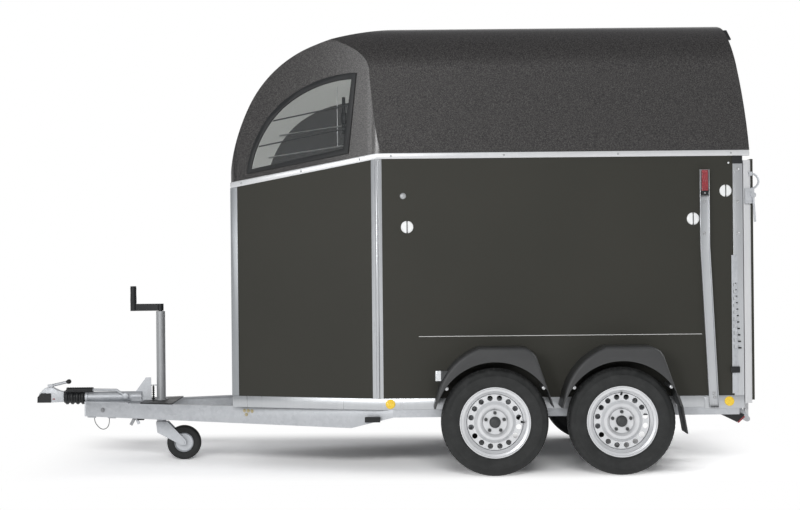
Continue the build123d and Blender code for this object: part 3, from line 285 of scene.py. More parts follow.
def drawn_metal(dark, bright, cloud_scale, metal, rough):
    """Aluminium section with fine lines along its height."""
    def build(f):
        lines = f.noise(60, 3, 0.6, (1, 1, 0.02))
        cloud = f.noise(cloud_scale, 3)
        base = f.mix(cloud * 0.6 + lines * 0.4, dark, bright)
        return f.surface(base=base, metal=metal, rough=lines.span(0.2, 0.8, *rough),
                         normal=f.bump(lines, 0.0003))
    return build


def wall_board(f):
    """Dark coated board with a fine satin grain."""
    grain = f.noise(900, 2, 0.6)
    cloud = f.noise(1.3, 2)
    base = f.mix(cloud, (0.026, 0.026, 0.021), (0.034, 0.033, 0.027))
    return f.surface(base=base, rough=grain.span(0.3, 0.7, 0.50, 0.60), normal=f.bump(grain, 0.0002),
                     specular=0.3)


def hood_shell(f):
    """Charcoal gel coat full of fine bright flakes, under a clear gloss."""
    grit = f.noise(170, 3, 0.75)
    shine = (grit.span(0.40, 0.66) * 0.6 + f.flakes(330).span(0.3, 1.0) * 0.5).clamped()
    base = f.mix(shine, (0.008, 0.008, 0.0085), (0.094, 0.089, 0.087))
    return f.surface(base=base, metal=shine * 0.6, rough=0.40, normal=f.bump(grit, 0.0005, 0.5),
                     coat=0.5, coat_rough=0.14, specular=0.25)


def hood_lining(f):
    """Pale inner side of the moulded hood, with a painted glow that stands in for the light coming in behind.
    """
    fibre = f.noise(220, 4, 0.7)
    base = f.mix(fibre, (0.78, 0.80, 0.78), (0.86, 0.87, 0.85))
    shader = f.surface(base=base, rough=0.6, normal=f.bump(fibre, 0.0008))
    sockets = shader.socket.node.inputs
    # Painted light: the lining glows in its own colour, though it is no lamp.
    f.tree.links.new(base.socket, sockets["Emission Color"])
    sockets["Emission Strength"].default_value = 0.17
    return shader


def grained(dark, bright, pores, cloud, rough, depth, strength=1.0, **more):
    """Plastic or vinyl: a leathery grain under a soft cloud of colour and gloss."""
    def build(f):
        grain = f.cells(pores)
        soft = f.noise(*cloud)
        return f.surface(base=f.mix(soft, dark, bright), rough=soft.span(0.3, 0.7, *rough),
                         normal=f.bump(grain, depth, strength), **more)
    return build


def pane(dark, bright, edge_share, least):
    """Smoked glass that grows less clear at low angles."""
    def build(f):
        edge = f.node("ShaderNodeLayerWeight", {}, {"Blend": 0.35}, "Fresnel")
        return f.surface(base=f.mix(f.noise(3, 2), dark, bright), rough=0.03,
                         alpha=(edge * edge_share + least).clamped(), specular=0.3)
    return build


def lens(dark, bright):
    """Ribbed clear plastic of a lamp or reflector."""
    def build(f):
        ribs = f.cells(260)
        return f.surface(base=f.mix(ribs.span(0.0, 0.8), bright, dark), rough=0.16,
                         normal=f.bump(ribs, 0.0012), coat=1.0, coat_rough=0.03)
    return build


def weave(dark, bright, pitch):
    """Coated cloth: over and under threads along two of the object's axes."""
    def build(f):
        turns = (2 * math.pi / pitch,) * 3
        thread = f.axis("Y", turns).math("SINE") * f.axis("Z", turns).math("SINE") * 0.5 + 0.5
        worn_cloth = f.noise(9, 3)
        return f.surface(base=f.mix(thread * 0.6 + worn_cloth * 0.4, dark, bright),
                         rough=worn_cloth.span(0.3, 0.7, 0.62, 0.75), normal=f.bump(thread, pitch * 0.3))
    return build


def floor_board(f):
    """Black coated board with chips."""
    chips = f.cells(120)
    return f.surface(base=f.mix(chips, (0.02, 0.02, 0.02), (0.05, 0.05, 0.05)), rough=0.8,
                     normal=f.bump(chips, 0.002))


def tyre_rubber(f):
    """Black tyre rubber with a little dust."""
    dust = f.noise(16, 5, 0.65)
    grain = f.noise(500, 2, 0.6)
    base = f.mix(dust.span(0.35, 0.75), (0.018, 0.019, 0.019), (0.036, 0.037, 0.037))
    return f.surface(base=base, rough=dust.span(0.3, 0.7, 0.55, 0.75), normal=f.bump(grain, 0.0004),
                     specular=0.35)


def wheel_paint(f):
    """Silver wheel paint with fine flakes."""
    flake = f.noise(900, 2, 0.7)
    cloud = f.noise(7, 3)
    base = f.mix(flake * 0.3 + cloud * 0.7, (0.60, 0.61, 0.63), (0.80, 0.81, 0.82))
    return f.surface(base=base, metal=0.45, rough=cloud.span(0.3, 0.7, 0.30, 0.42),
                     normal=f.bump(flake, 0.0002), coat=0.4, coat_rough=0.15)


def worn(dark, bright, grain, rough, depth, **more):
    """A finish led by one noise: its colour, its fine relief and, where rough is a pair, its gloss."""
    def build(f):
        wear = f.noise(*grain)
        gloss = wear.span(0.3, 0.7, *rough) if isinstance(rough, tuple) else rough
        return f.surface(base=f.mix(wear, dark, bright), rough=gloss, normal=f.bump(wear, depth), **more)
    return build


FINISHES = {
    "galvanised": galvanised,
    "tube_zinc": worn((0.31, 0.32, 0.33), (0.44, 0.45, 0.46), (14, 4, 0.6), (0.38, 0.50), 0.0003, metal=0.45),
    "yellow_zinc": worn((0.42, 0.33, 0.14), (0.60, 0.56, 0.42), (60, 3), (0.3, 0.45), 0.0003, metal=0.75),
    "drum_metal": worn((0.22, 0.225, 0.235), (0.40, 0.405, 0.415), (90, 5, 0.7), (0.45, 0.65), 0.0008,
                       metal=0.7),
    "bright_bolt": worn((0.40, 0.41, 0.42), (0.66, 0.67, 0.68), (140, 3), (0.25, 0.42), 0.0003, metal=0.9),
    "dull_rivet": worn((0.30, 0.31, 0.32), (0.50, 0.51, 0.52), (140, 3), (0.4, 0.55), 0.0003, metal=0.5),
    "dark_cap": worn((0.035, 0.037, 0.038), (0.085, 0.088, 0.090), (90, 4, 0.6), (0.4, 0.55), 0.0004,
                     metal=0.3),
    "slot_shadow_black": worn((0.010, 0.010, 0.010), (0.018, 0.018, 0.018), (90, 2), 0.7, 0.0001, specular=0.1),
    "aluminium": drawn_metal((0.60, 0.61, 0.63), (0.74, 0.745, 0.75), 4, 0.45, (0.30, 0.42)),
    "mill_metal": drawn_metal((0.44, 0.455, 0.475), (0.60, 0.615, 0.63), 3, 0.7, (0.26, 0.38)),
    # A darker copy of the post metal: painted shade for the front corner posts.
    "front_post_shade_metal": drawn_metal((0.26, 0.275, 0.29), (0.38, 0.395, 0.41), 3, 0.6, (0.34, 0.46)),
    "wheel_paint": wheel_paint,
    "wall_board": wall_board,
    "floor_board": floor_board,
    "hood_shell": hood_shell,
    "hood_lining": hood_lining,
    "black_plastic": grained((0.010, 0.011, 0.012), (0.020, 0.021, 0.022), 700, (6, 3), (0.40, 0.54), 0.0003,
                             0.5, specular=0.35),
    "guard_plastic": grained((0.032, 0.033, 0.034), (0.050, 0.051, 0.052), 600, (5, 4, 0.6), (0.36, 0.48),
                             0.0004, 0.5),
    "white_plastic": worn((0.76, 0.77, 0.77), (0.86, 0.87, 0.87), (30, 3), (0.28, 0.4), 0.0003),
    "white_line": worn((0.70, 0.70, 0.69), (0.82, 0.82, 0.81), (40, 2), 0.45, 0.0001),
    "cable_cover": worn((0.05, 0.05, 0.05), (0.10, 0.10, 0.098), (300, 3), (0.4, 0.55), 0.0002),
    "window_glass": pane((0.06, 0.07, 0.075), (0.085, 0.095, 0.10), 0.5, 0.04),
    "smoked_glass": pane((0.030, 0.035, 0.038), (0.045, 0.052, 0.056), 0.2, 0.76),
    "red_lens": lens((0.16, 0.004, 0.010), (0.42, 0.015, 0.03)),
    "amber_lens": lens((0.85, 0.52, 0.01), (1.0, 0.76, 0.02)),
    "clear_lens": lens((0.6, 0.62, 0.64), (0.85, 0.86, 0.88)),
    "curtain_fabric": weave((0.035, 0.036, 0.04), (0.085, 0.086, 0.09), 0.0022),
    "padding": grained((0.045, 0.046, 0.05), (0.075, 0.076, 0.08), 420, (5, 3), (0.45, 0.6), 0.0006),
    "ramp_rubber": worn((0.02, 0.02, 0.02), (0.045, 0.045, 0.044), (240, 4, 0.7), 0.82, 0.001),
    "tyre_rubber": tyre_rubber,
}
made_finishes = {}


def finish(name):
    """The material of that name, made once."""
    if name not in made_finishes:
        material = bpy.data.materials.new(name)
        material.use_nodes = True
        f = Finish(material.node_tree)
        f.output(FINISHES[name](f))
        made_finishes[name] = material
    return made_finishes[name]


def dress_frame():
    """Give each CAD node the finish of its record's material slot, and the hubs' bolts a dark finish, painted
    shade for the lug holes they sit in.
    """
    for name, node in frame["nodes"].items():
        node.data.materials.clear()
        node.data.materials.append(finish(SLOTS[name]))
    frame["nodes"]["jockey_tube"].data.materials[0] = finish("tube_zinc")
    bolts_from, bolts_to, bolts_y = 0.040, 0.070, WHEEL_Y + 0.031
    for axle, x in AXLES.items():
        for side in SIDES:
            hub = frame["nodes"]["hub_" + axle + "_" + side].data
            # Painted shade: the bolt faces in the lug holes take the dark finish.
            hub.materials.append(finish("dark_cap"))
            for face in hub.polygons:
                spot = face.center
                reach = math.hypot(spot.x - x, spot.z - WHEEL_Z)
                face.material_index = int(bolts_from < reach < bolts_to and abs(spot.y) > bolts_y)


def line_hood():
    """Give the hood's inner faces the pale lining."""
    hood = frame["nodes"]["hood"]
    hood.data.materials.append(finish("hood_lining"))
    centre, rear_rim_x = Vector((0.6, 0, 1.9)), 1.9
    for face in hood.data.polygons:
        inwards = (centre - face.center).dot(face.normal)
        if inwards > 0 and abs(face.normal.x) < 0.98 or face.center.x > rear_rim_x and face.normal.x < -0.5:
            face.material_index = 1


def darken_pane():
    """The right-hand pane is the darker one."""
    panes = frame["nodes"]["window_panes"]
    panes.data.materials.append(finish("smoked_glass"))
    for face in panes.data.polygons:
        face.material_index = int(face.center.y > 0)


def paint_plate_shade():
    """Painted shade: the top of the jockey wheel's plate, recessed between the rails, takes the black finish.
    """
    plate_top, plate_end = 0.3755, -1.0
    plate = frame["nodes"]["cross_members"]
    plate.data.materials.append(finish("black_plastic"))
    for face in plate.data.polygons:
        face.material_index = int(face.center.z > plate_top and face.center.x < plate_end)


# Modelling helpers

SHARP = 32                # degrees: an edge of a CAD node above this is rounded and stays sharp
FLAT = 0.02               # radians: CAD triangles closer than this become one face
MERGE_CAD = 0.00005
MERGE_SPIN = 0.00002


def only(obj):
    """Make an object the only selected one."""
    bpy.ops.object.select_all(action="DESELECT")
    obj.select_set(True)
    bpy.context.view_layer.objects.active = obj


def select_all():
    bpy.ops.mesh.select_all(action="SELECT")


def in_edit(obj, *steps):
    """Run mesh operators on one object in edit mode."""
    only(obj)
    bpy.ops.object.mode_set(mode="EDIT")
    for step in steps:
        step()
    bpy.ops.object.mode_set(mode="OBJECT")


def pick(obj, kind, wanted):
    """Select the faces or vertices of an object in edit mode by their place."""
    mesh = bmesh.from_edit_mesh(obj.data)
    bpy.ops.mesh.select_mode(type=kind)
    bpy.ops.mesh.select_all(action="DESELECT")
    for part in {"FACE": mesh.faces, "VERT": mesh.verts}[kind]:
        if wanted(part):
            part.select_set(True)
    mesh.select_flush_mode()
    bmesh.update_edit_mesh(obj.data)


def apply_all(obj):
    """Apply an object's modifiers."""
    only(obj)
    for modifier in list(obj.modifiers):
        bpy.ops.object.modifier_apply(modifier=modifier.name)


def apply_place(obj):
    """Bring an object's place, turn and scale into its mesh."""
    only(obj)
    bpy.ops.object.transform_apply(location=True, rotation=True, scale=True)


def rounded(obj, width, segments=2):
    """Round the sharp edges with a small bevel."""
    modifier = obj.modifiers.new("round", "BEVEL")
    modifier.width = width
    modifier.segments = segments
    modifier.limit_method = "ANGLE"
    modifier.angle_limit = math.radians(SHARP)
    modifier.use_clamp_overlap = True
    apply_all(obj)


def smooth(obj, angle=34):
    """Smooth shading, with the edges sharper than an angle kept sharp."""
    only(obj)
    bpy.ops.object.shade_smooth_by_angle(angle=math.radians(angle))


def settle(obj, name, coat, body="trailer", replaces=()):
    """Name a finished piece, bring its place into its mesh, and give it its finish and body."""
    apply_place(obj)
    obj.name = name
    obj.data.name = name
    if not obj.data.materials:
        obj.data.materials.append(finish(coat))
    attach(obj, body)
    if replaces:
        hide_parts(*replaces)
    return obj


def drop(obj):
    bpy.data.objects.remove(obj, do_unlink=True)


def placed(master, matrix):
    """A copy of a piece with its own mesh, moved by a matrix."""
    twin = master.copy()
    twin.data = master.data.copy()
    twin.parent = None
    bpy.context.scene.collection.objects.link(twin)
    twin.data.transform(matrix)
    return twin


def mirrored(obj, move=(0, 0, 0)):
    """A copy of a piece, moved and then mirrored to the right side of the trailer."""
    twin = placed(obj, Matrix.Translation(move))
    twin.data.transform(Matrix.Scale(-1, 4, (0, 1, 0)))
    in_edit(twin, select_all, bpy.ops.mesh.flip_normals)
    return twin


def joined(parts):
    """Join pieces into one object."""
    bpy.ops.object.select_all(action="DESELECT")
    for part in parts:
        part.select_set(True)
    bpy.context.view_layer.objects.active = parts[0]
    bpy.ops.object.join()
    return bpy.context.object


def both_sides(master, name, coat, places=((0, 0, 0),)):
    """Copies of a left piece at some places and on the right side too, joined to one object."""
    parts = []
    for place in places:
        parts += [placed(master, Matrix.Translation(place)), mirrored(master, place)]
    drop(master)
    pieces = joined(parts)
    smooth(pieces)
    settle(pieces, name, coat)


def stood(obj, place=(0, 0, 0), turn="Z"):
    """Bring a place and a turn into a mesh: Euler angles, or the axis that a lathed piece's +Z gets."""
    turns = {"Z": (0, 0, 0), "-Y": (math.pi / 2, 0, 0), "X": (0, math.pi / 2, 0)}
    obj.rotation_euler = turns[turn] if isinstance(turn, str) else turn
    obj.location = place
    apply_place(obj)
    return obj


def block(low, high, round_by=0):
    """A box between two corners, its edges rounded."""
    low, high = Vector(low), Vector(high)
    bpy.ops.mesh.primitive_cube_add(size=1, location=(low + high) / 2, scale=high - low)
    obj = bpy.context.object
    apply_place(obj)
    if round_by:
        rounded(obj, round_by, 3)
    return obj


def chain(points):
    """A line of vertices: a plane merged to one point, moved and extruded on. It stays in edit mode."""
    bpy.ops.mesh.primitive_plane_add(size=0.01, location=(0, 0, 0))
    obj = bpy.context.object
    bpy.ops.object.mode_set(mode="EDIT")
    select_all()
    bpy.ops.mesh.merge(type="CENTER")
    bpy.ops.mesh.select_mode(type="VERT")
    select_all()
    bpy.ops.transform.translate(value=points[0])
    for before, after in zip(points, points[1:]):
        step = tuple(end - start for start, end in zip(before, after))
        bpy.ops.mesh.extrude_vertices_move(TRANSFORM_OT_translate={"value": step})
    return obj


def lathe(outline, steps=48, closed=False):
    """Turn an outline of (radius, height) points round Z: an extruded chain of points, then a spin."""
    obj = chain([(radius, 0, height) for radius, height in outline])
    if closed:
        pick(obj, "VERT", lambda vertex: len(vertex.link_edges) == 1)
        bpy.ops.mesh.edge_face_add()
    select_all()
    bpy.ops.mesh.spin(steps=steps, angle=2 * math.pi, center=(0, 0, 0), axis=(0, 0, 1))
    select_all()
    bpy.ops.mesh.remove_doubles(threshold=MERGE_SPIN)
    bpy.ops.mesh.normals_make_consistent(inside=False)
    bpy.ops.object.mode_set(mode="OBJECT")
    return obj


def dome(radius, height, steps=20):
    """A rivet or screw head."""
    return lathe([(0, height), (0.45 * radius, 0.9 * height), (0.8 * radius, 0.6 * height),
                  (radius, 0.1 * height), (radius, 0), (0, 0)], steps)


def hexagon(size, height):
    """A bolt head on its washer."""
    head = lathe([(0, height), (0.8 * size, height), (size, 0.8 * height), (size, 0), (0, 0)], 6)
    washer = lathe([(0, 0.18 * height), (1.3 * size, 0.18 * height), (1.34 * size, 0.1 * height),
                    (1.34 * size, 0), (0, 0)], 28)
    return joined([head, washer])


def cut(obj, tool):
    """Take a tool's shape out of a piece."""
    modifier = obj.modifiers.new("cut", "BOOLEAN")
    modifier.operation = "DIFFERENCE"
    modifier.solver = "EXACT"
    modifier.object = tool
    apply_all(obj)
    drop(tool)


def push(obj, wanted, thickness, depth, each=False):
    """Inset the wanted faces and push them in or out."""
    in_edit(obj, lambda: pick(obj, "FACE", wanted),
            lambda: bpy.ops.mesh.inset(thickness=thickness, depth=depth, use_individual=each))


def slice_at(obj, place, normal):
    """Cut new edges into a piece where a plane crosses it."""
    in_edit(obj, select_all, lambda: bpy.ops.mesh.bisect(plane_co=place, plane_no=normal))


def softened(node, width):
    """A bare copy of a CAD node, merged, its edges rounded, in the node's place."""
    source = frame["nodes"][node]
    obj = source.copy()
    obj.data = source.data.copy()
    obj.parent = None
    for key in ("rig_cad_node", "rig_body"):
        if key in obj:
            del obj[key]
    bpy.context.scene.collection.objects.link(obj)
    in_edit(obj, select_all, lambda: bpy.ops.mesh.remove_doubles(threshold=MERGE_CAD))
    obj.data.normals_split_custom_set_from_vertices([v.normal for v in obj.data.vertices])
    only(obj)
    bpy.ops.mesh.customdata_custom_splitnormals_clear()
    in_edit(obj, select_all, lambda: bpy.ops.mesh.dissolve_limited(angle_limit=FLAT))
    if width:
        rounded(obj, width)
    smooth(obj, SHARP)
    obj.data.materials.clear()
    return obj


def soften(node, width, coat=None):
    """Replace a CAD node by its softened copy."""
    obj = softened(node, width)
    return settle(obj, node + "_rounded", coat or SLOTS[node], replaces=(node,))


def cheek(along, out, z, side=-1):
    """A point on a slanted front side, measured along it from the front post."""
    return Vector((FRONT_X + along * math.cos(CHEEK_TURN) - out * math.sin(CHEEK_TURN),
                   side * (FRONT_Y + along * math.sin(CHEEK_TURN) + out * math.cos(CHEEK_TURN)), z))


def rail(along, out, z):
    """A point on the outer face of the left drawbar rail."""
    return Vector((RAIL_X + along * math.cos(RAIL_TURN) - out * math.sin(RAIL_TURN),
                   -RAIL_Y - along * math.sin(RAIL_TURN) - out * math.cos(RAIL_TURN), z))


# Pieces

def make_cable():
    """The brake cable's loop under the left rail, on the route of its CAD tube."""
    behind_face = -0.021
    route = ((0.050, 0), (0.050, -0.024), (0.075, -0.055), (0.105, -0.074), (0.137, -0.068), (0.161, -0.040),
             (0.161, 0))
    points = [rail(along, behind_face, CABLE_EXIT_Z + fall) for along, fall in route]
    curve = bpy.data.curves.new("brake_cable_line", "CURVE")
    curve.dimensions = "3D"
    spline = curve.splines.new("NURBS")
    spline.points.add(len(points) - 1)
    for point, place in zip(spline.points, points):
        point.co = (*place, 1)
    spline.order_u = 3
    spline.use_endpoint_u = True
    spline.resolution_u = 12
    curve.bevel_depth = CABLE_DIAMETER / 2
    curve.bevel_resolution = 3
    curve.use_fill_caps = True
    cable = bpy.data.objects.new("brake_cable_line", curve)
    bpy.context.scene.collection.objects.link(cable)
    cable.data.materials.append(finish("cable_cover"))
    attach(cable, "trailer")
    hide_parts("brake_cable")


def soften_frame():
    """Panels, posts, moulding and rails with rounded edges; the front corner posts get a greyer copy of the
    metal, painted shade for the dark surround they reflect.
    """
    front_posts_end = FRONT_X + 0.08
    for node, width, coat in (("wall_posts", 0.0025, "mill_metal"), ("roof_trim", 0.004, None),
                              ("sill_frame", 0.003, "mill_metal"), ("front_panel", 0.001, None),
                              ("side_channels", 0.0025, "mill_metal"), ("slotted_strips", 0.001, None),
                              ("window_frames", 0.004, None), ("drawbar_rails", 0.003, None),
                              ("mudguards", 0.0012, "guard_plastic"), ("lamp_carriers", 0.003, None),
                              ("handbrake_lever", 0.002, None), ("coupling_head", 0.0018, None)):
        made = soften(node, width, coat)
        # Painted shade: the front corner posts take a darker copy of the post metal.
        if node == "wall_posts":
            made.data.materials.append(finish("front_post_shade_metal"))
            for face in made.data.polygons:
                face.material_index = int(face.center.x < front_posts_end)


def tyre_outline(half):
    """A closed outline of (radius, height) points from those of one side, bead first."""
    return [(radius, -height) for radius, height in half] + half[::-1]


def on_wheel(axle, side):
    """The place and turn of a road wheel, for a piece lathed round Z with its outer side up."""
    return (Matrix.Translation((AXLES[axle], side * WHEEL_Y, WHEEL_Z))
            @ Matrix.Rotation(-side * math.pi / 2, 4, "X"))


def make_tyres():
    """Road tyres: ribs between four grooves, and shoulders with cross slots."""
    steps = 180
    tread_radius = 0.3105
    tyre = lathe(tyre_outline([
        (0.1905, 0.0640), (0.2060, 0.0735), (0.2092, 0.0790), (0.2140, 0.0828), (0.2178, 0.0846),
        (0.2192, 0.0836), (0.2400, 0.0902), (0.2580, 0.0925), (0.2740, 0.0914), (0.2752, 0.0899),
        (0.2940, 0.0850), (0.3035, 0.0780), (0.3090, 0.0705), (0.3125, 0.0625), (0.3138, 0.0470),
        (0.3068, 0.0455), (0.3068, 0.0385), (0.3152, 0.0370), (0.3165, 0.0205), (0.3090, 0.0190),
        (0.3090, 0.0120), (0.3169, 0.0105)]), steps, closed=True)

    def tread(low, high, every, start):
        def test(face):
            place = face.calc_center_median()
            number = int((math.atan2(place.y, place.x) % (2 * math.pi)) / (2 * math.pi) * steps)
            radius = math.hypot(place.x, place.y)
            return radius > tread_radius and low < abs(place.z) < high and number % every == start
        return test

    push(tyre, tread(0.046, 0.070, 3, 0), 0.0014, -0.005)
    push(tyre, tread(0.021, 0.037, 4, 1), 0.0030, -0.004, True)
    push(tyre, tread(0.0, 0.0105, 4, 3), 0.0032, -0.004, True)
    smooth(tyre, 40)
    for axle in AXLES:
        for name, side in SIDES.items():
            wheel = axle + "_" + name
            settle(placed(tyre, on_wheel(axle, side)), "road_tyre_" + wheel, "tyre_rubber", "wheel_" + wheel,
                   ("tyre_" + wheel,))
    drop(tyre)


def make_wheel_caps():
    """A dark cap on each hub, and the valve in its rim."""
    cap = lathe([(0, 0.0575), (0.013, 0.0570), (0.0150, 0.0590), (0.0235, 0.0570), (0.0295, 0.0525),
                 (0.0325, 0.0475), (0.0335, 0.0440), (0.0335, 0.0400), (0, 0.0400)], 40)
    valve = lathe([(0, 0.036), (0.0028, 0.036), (0.0032, 0.035), (0.0032, 0.027), (0.0026, 0.026),
                   (0.0036, 0.020), (0.0058, 0.006), (0.0075, 0.002), (0.0075, 0), (0, 0)], 16)
    valve_radius, valve_depth, valve_lean = 0.157, 0.034, math.radians(24)
    stood(valve, (valve_radius, 0, valve_depth), (0, valve_lean, 0))
    smooth(cap)
    smooth(valve)
    for axle, valve_turn in (("front", 0), ("rear", 90)):
        for name, side in SIDES.items():
            wheel = axle + "_" + name
            turn = on_wheel(axle, side)
            settle(placed(cap, turn), "hub_cap_" + wheel, "dark_cap", "wheel_" + wheel)
            twin = placed(valve, turn @ Matrix.Rotation(math.radians(valve_turn), 4, "Z"))
            settle(twin, "valve_" + wheel, "black_plastic", "wheel_" + wheel)
    drop(cap)
    drop(valve)


def make_jockey_tyre():
    """The jockey wheel's solid tyre, with a groove on each side of its middle."""
    tyre = lathe(tyre_outline([
        (0.0625, 0.0190), (0.0700, 0.0232), (0.0860, 0.0250), (0.0980, 0.0240), (0.1055, 0.0195),
        (0.1088, 0.0140), (0.1094, 0.0100), (0.1062, 0.0092), (0.1062, 0.0068), (0.1097, 0.0060),
        (0.1099, 0.0022), (0.1068, 0.0015)]), 96, closed=True)
    smooth(tyre)
    stood(tyre, JOCKEY_WHEEL, "-Y")
    settle(tyre, "small_tyre", "tyre_rubber", "jockey_wheel", ("jockey_tyre",))


def make_wall_caps():
    """White screw caps with an upright slot, its inside darkened as painted shade, where the bars are fixed
    to the walls, and one metal rivet.
    """
    slot_half, slot_floor, rim_top, smallest_white, nearly = 0.0032, 0.0030, 0.0082, 0.03, 0.0001
    parts = []
    for x, z, radius in ((0.145, 1.469, 0.037), (0.122, 1.654, 0.019), (1.849, 1.503, 0.037),
                         (2.044, 1.668, 0.036)):
        cap = lathe([(0, 0.0088), (0.55 * radius, 0.0085), (0.8 * radius, 0.0074), (0.93 * radius, 0.0052),
                     (radius, 0.0022), (radius, 0), (0, 0)], 48)
        cap.data.materials.append(finish("white_plastic" if radius > smallest_white else "dull_rivet"))
        if radius > smallest_white:
            slot_long = 0.80 * radius
            cut(cap, block((-slot_half, -slot_long, slot_floor), (slot_half, slot_long, 0.02)))
            # Painted shade: the slot's inner faces take the dark finish.
            cap.data.materials.append(finish("dark_cap"))
            for face in cap.data.polygons:
                in_slot = abs(face.center.x) < slot_half + nearly
                face.material_index = int(in_slot and slot_floor - nearly < face.center.z < rim_top)
        stood(cap, (x, -WALL_Y, z), "-Y")
        parts += [cap, mirrored(cap)]
    caps = joined(parts)
    smooth(caps)
    settle(caps, "slotted_caps", "white_plastic", "trailer", ("wall_caps",))


def make_reflectors():
    """Round amber reflectors with a ring, low at the ends of each side."""
    height = 0.4145
    parts = []
    for x, y in ((0.036, -0.851), (2.055, -0.854)):
        reflector = lathe([(0, 0.0088), (0.006, 0.0086), (0.0065, 0.0080), (0.0150, 0.0076), (0.0155, 0.0070),
                           (0.0225, 0.0060), (0.0230, 0.0068), (0.0262, 0.0064), (0.0285, 0.0040),
                           (0.0290, 0.0015), (0.0290, 0), (0, 0)], 48)
        stood(reflector, (x, y, height), "-Y")
        parts += [reflector, mirrored(reflector)]
    reflectors = joined(parts)
    smooth(reflectors, 24)
    settle(reflectors, "amber_reflectors", "amber_lens", "trailer", ("side_reflectors",))


def make_fixings():
    """Rivets of the moulding, and the bolts of the posts, channels, rail and corner plates."""
    trim_y = -(WALL_Y + TRIM_PROUD)
    slanted_rivets_z = 1.740
    on_cheek = (math.pi / 2, 0, -CHEEK_TURN)
    on_rail = (math.pi / 2, 0, -RAIL_TURN)
    rivet = (0.0062, 0.0022)
    both_sides(stood(dome(*rivet), turn="-Y"), "trim_rivets", "dull_rivet",
               [(x, trim_y, TRIM_RIVETS_Z) for x in (0.0526, 0.7256, 1.4046, 2.0776)])
    places = [cheek(s, TRIM_PROUD, slanted_rivets_z + CHEEK_SLOPE * s) for s in (0.072, 0.47, 0.85)]
    both_sides(stood(dome(*rivet), turn=on_cheek), "slanted_rivets", "dull_rivet", places)
    places = [(2.116, trim_y, z) for z in (1.793, 1.603, 1.414)]
    places += [(CHANNEL_X, POST_FACE_Y, z) for z in (1.603, 1.414)]
    places += [(1.962, POST_FACE_Y, 0.462), (1.968, POST_FACE_Y, 0.438)]
    both_sides(stood(hexagon(0.0085, 0.0055), turn="-Y"), "post_bolts", "bright_bolt", places)
    both_sides(stood(dome(0.006, 0.003), turn="-Y"), "wall_screws", "white_plastic",
               [(2.063, -WALL_Y, 1.834)])
    both_sides(stood(hexagon(0.0115, 0.008), turn=on_rail), "rail_bolts", "drum_metal",
               [rail(0.125, 0, 0.330)])
    places = [rail(s, 0, z) for s, z in ((1.140, 0.352), (1.166, 0.352), (1.192, 0.350), (1.153, 0.328))]
    both_sides(stood(hexagon(0.0085, 0.006), turn=on_rail), "cross_bolts", "yellow_zinc", places)


def make_rear_fittings():
    """Black plates, catches and lamp ends, the hood's stops, painted shadows in the strips' slots and the
    walls' white line.
    """
    blocks = {"post_caps": ((2.0835, -0.8572, 1.829), (2.1445, -0.8538, 1.8755), 0.0016),
              "strap_catches": ((2.0652, -0.8788, 0.5845), (2.1168, -0.8575, 0.6215), 0.003),
              "lamp_ends": ((1.8965, -0.8868, 1.6410), (1.9355, -0.8560, 1.6690), 0.003)}
    for name, corners_and_width in blocks.items():
        both_sides(block(*corners_and_width), name, "black_plastic")
    both_sides(stood(dome(0.0045, 0.002), turn="-Y"), "lamp_screws", "bright_bolt",
               [(CHANNEL_X, -0.8866, 1.655)])

    stop_lean = -0.026
    stop = block((2.064, -0.724, 2.582), (2.110, -0.688, 2.640), 0.003)
    in_edit(stop, lambda: pick(stop, "VERT", lambda vertex: vertex.co.x > 2.09 and vertex.co.z > 2.6),
            lambda: bpy.ops.transform.translate(value=(stop_lean, 0, 0)))
    both_sides(stop, "hood_stops", "black_plastic")

    strip_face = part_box("slotted_strips")[0][1]
    # Painted shade: thin black blocks on each strip stand for the dark inside of its slots.
    strip_x, top_z, pitch, count = 2.094, 1.113, 0.0385, 11
    slots = []
    for i in range(count):
        share = i / (count - 1)
        middle, half, low = strip_x + 0.022 * share, 0.003 + 0.0065 * share, top_z - pitch * i
        slots.append(block((middle - half, strip_face - 0.0004, low),
                           (middle + half, strip_face + 0.001, low + 0.006 + 0.003 * share), 0.0002))
    both_sides(joined(slots), "strip_slot_shadows", "slot_shadow_black")
    both_sides(block((0.210, -0.8507, 0.8146), (1.896, -0.8490, 0.8174), 0.0003), "side_lines", "white_line")


def make_marker_lamps():
    """A clear upright lens in front of a dark plate, on each front mudguard."""
    plate_x = 0.334
    lamps = softened("marker_lamps", 0.003)
    slice_at(lamps, (plate_x, 0, 0), (1, 0, 0))
    lamps.data.materials.append(finish("clear_lens"))
    lamps.data.materials.append(finish("dark_cap"))
    for face in lamps.data.polygons:
        face.material_index = int(face.center.x > plate_x)
    settle(lamps, "marker_lenses", "clear_lens", replaces=("marker_lamps",))


def make_nose_cap():
    """Soft cover in front of the coupling head, its front leaning back above a knee."""
    cap = softened("nose_cap", 0)
    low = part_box("nose_cap")[0]
    knee, deep, lean = low[2] + 0.034, 0.034, 0.85
    slice_at(cap, (0, 0, knee), (0, 0, 1))
    slice_at(cap, (low[0] + deep, 0, 0), (1, 0, 0))
    for vertex in cap.data.vertices:
        share = max(0.0, 1 - (vertex.co.x - low[0]) / deep)
        vertex.co.x += lean * share * max(0.0, vertex.co.z - knee)
    smooth(cap)
    settle(cap, "nose_cover", "black_plastic", replaces=("nose_cap",))


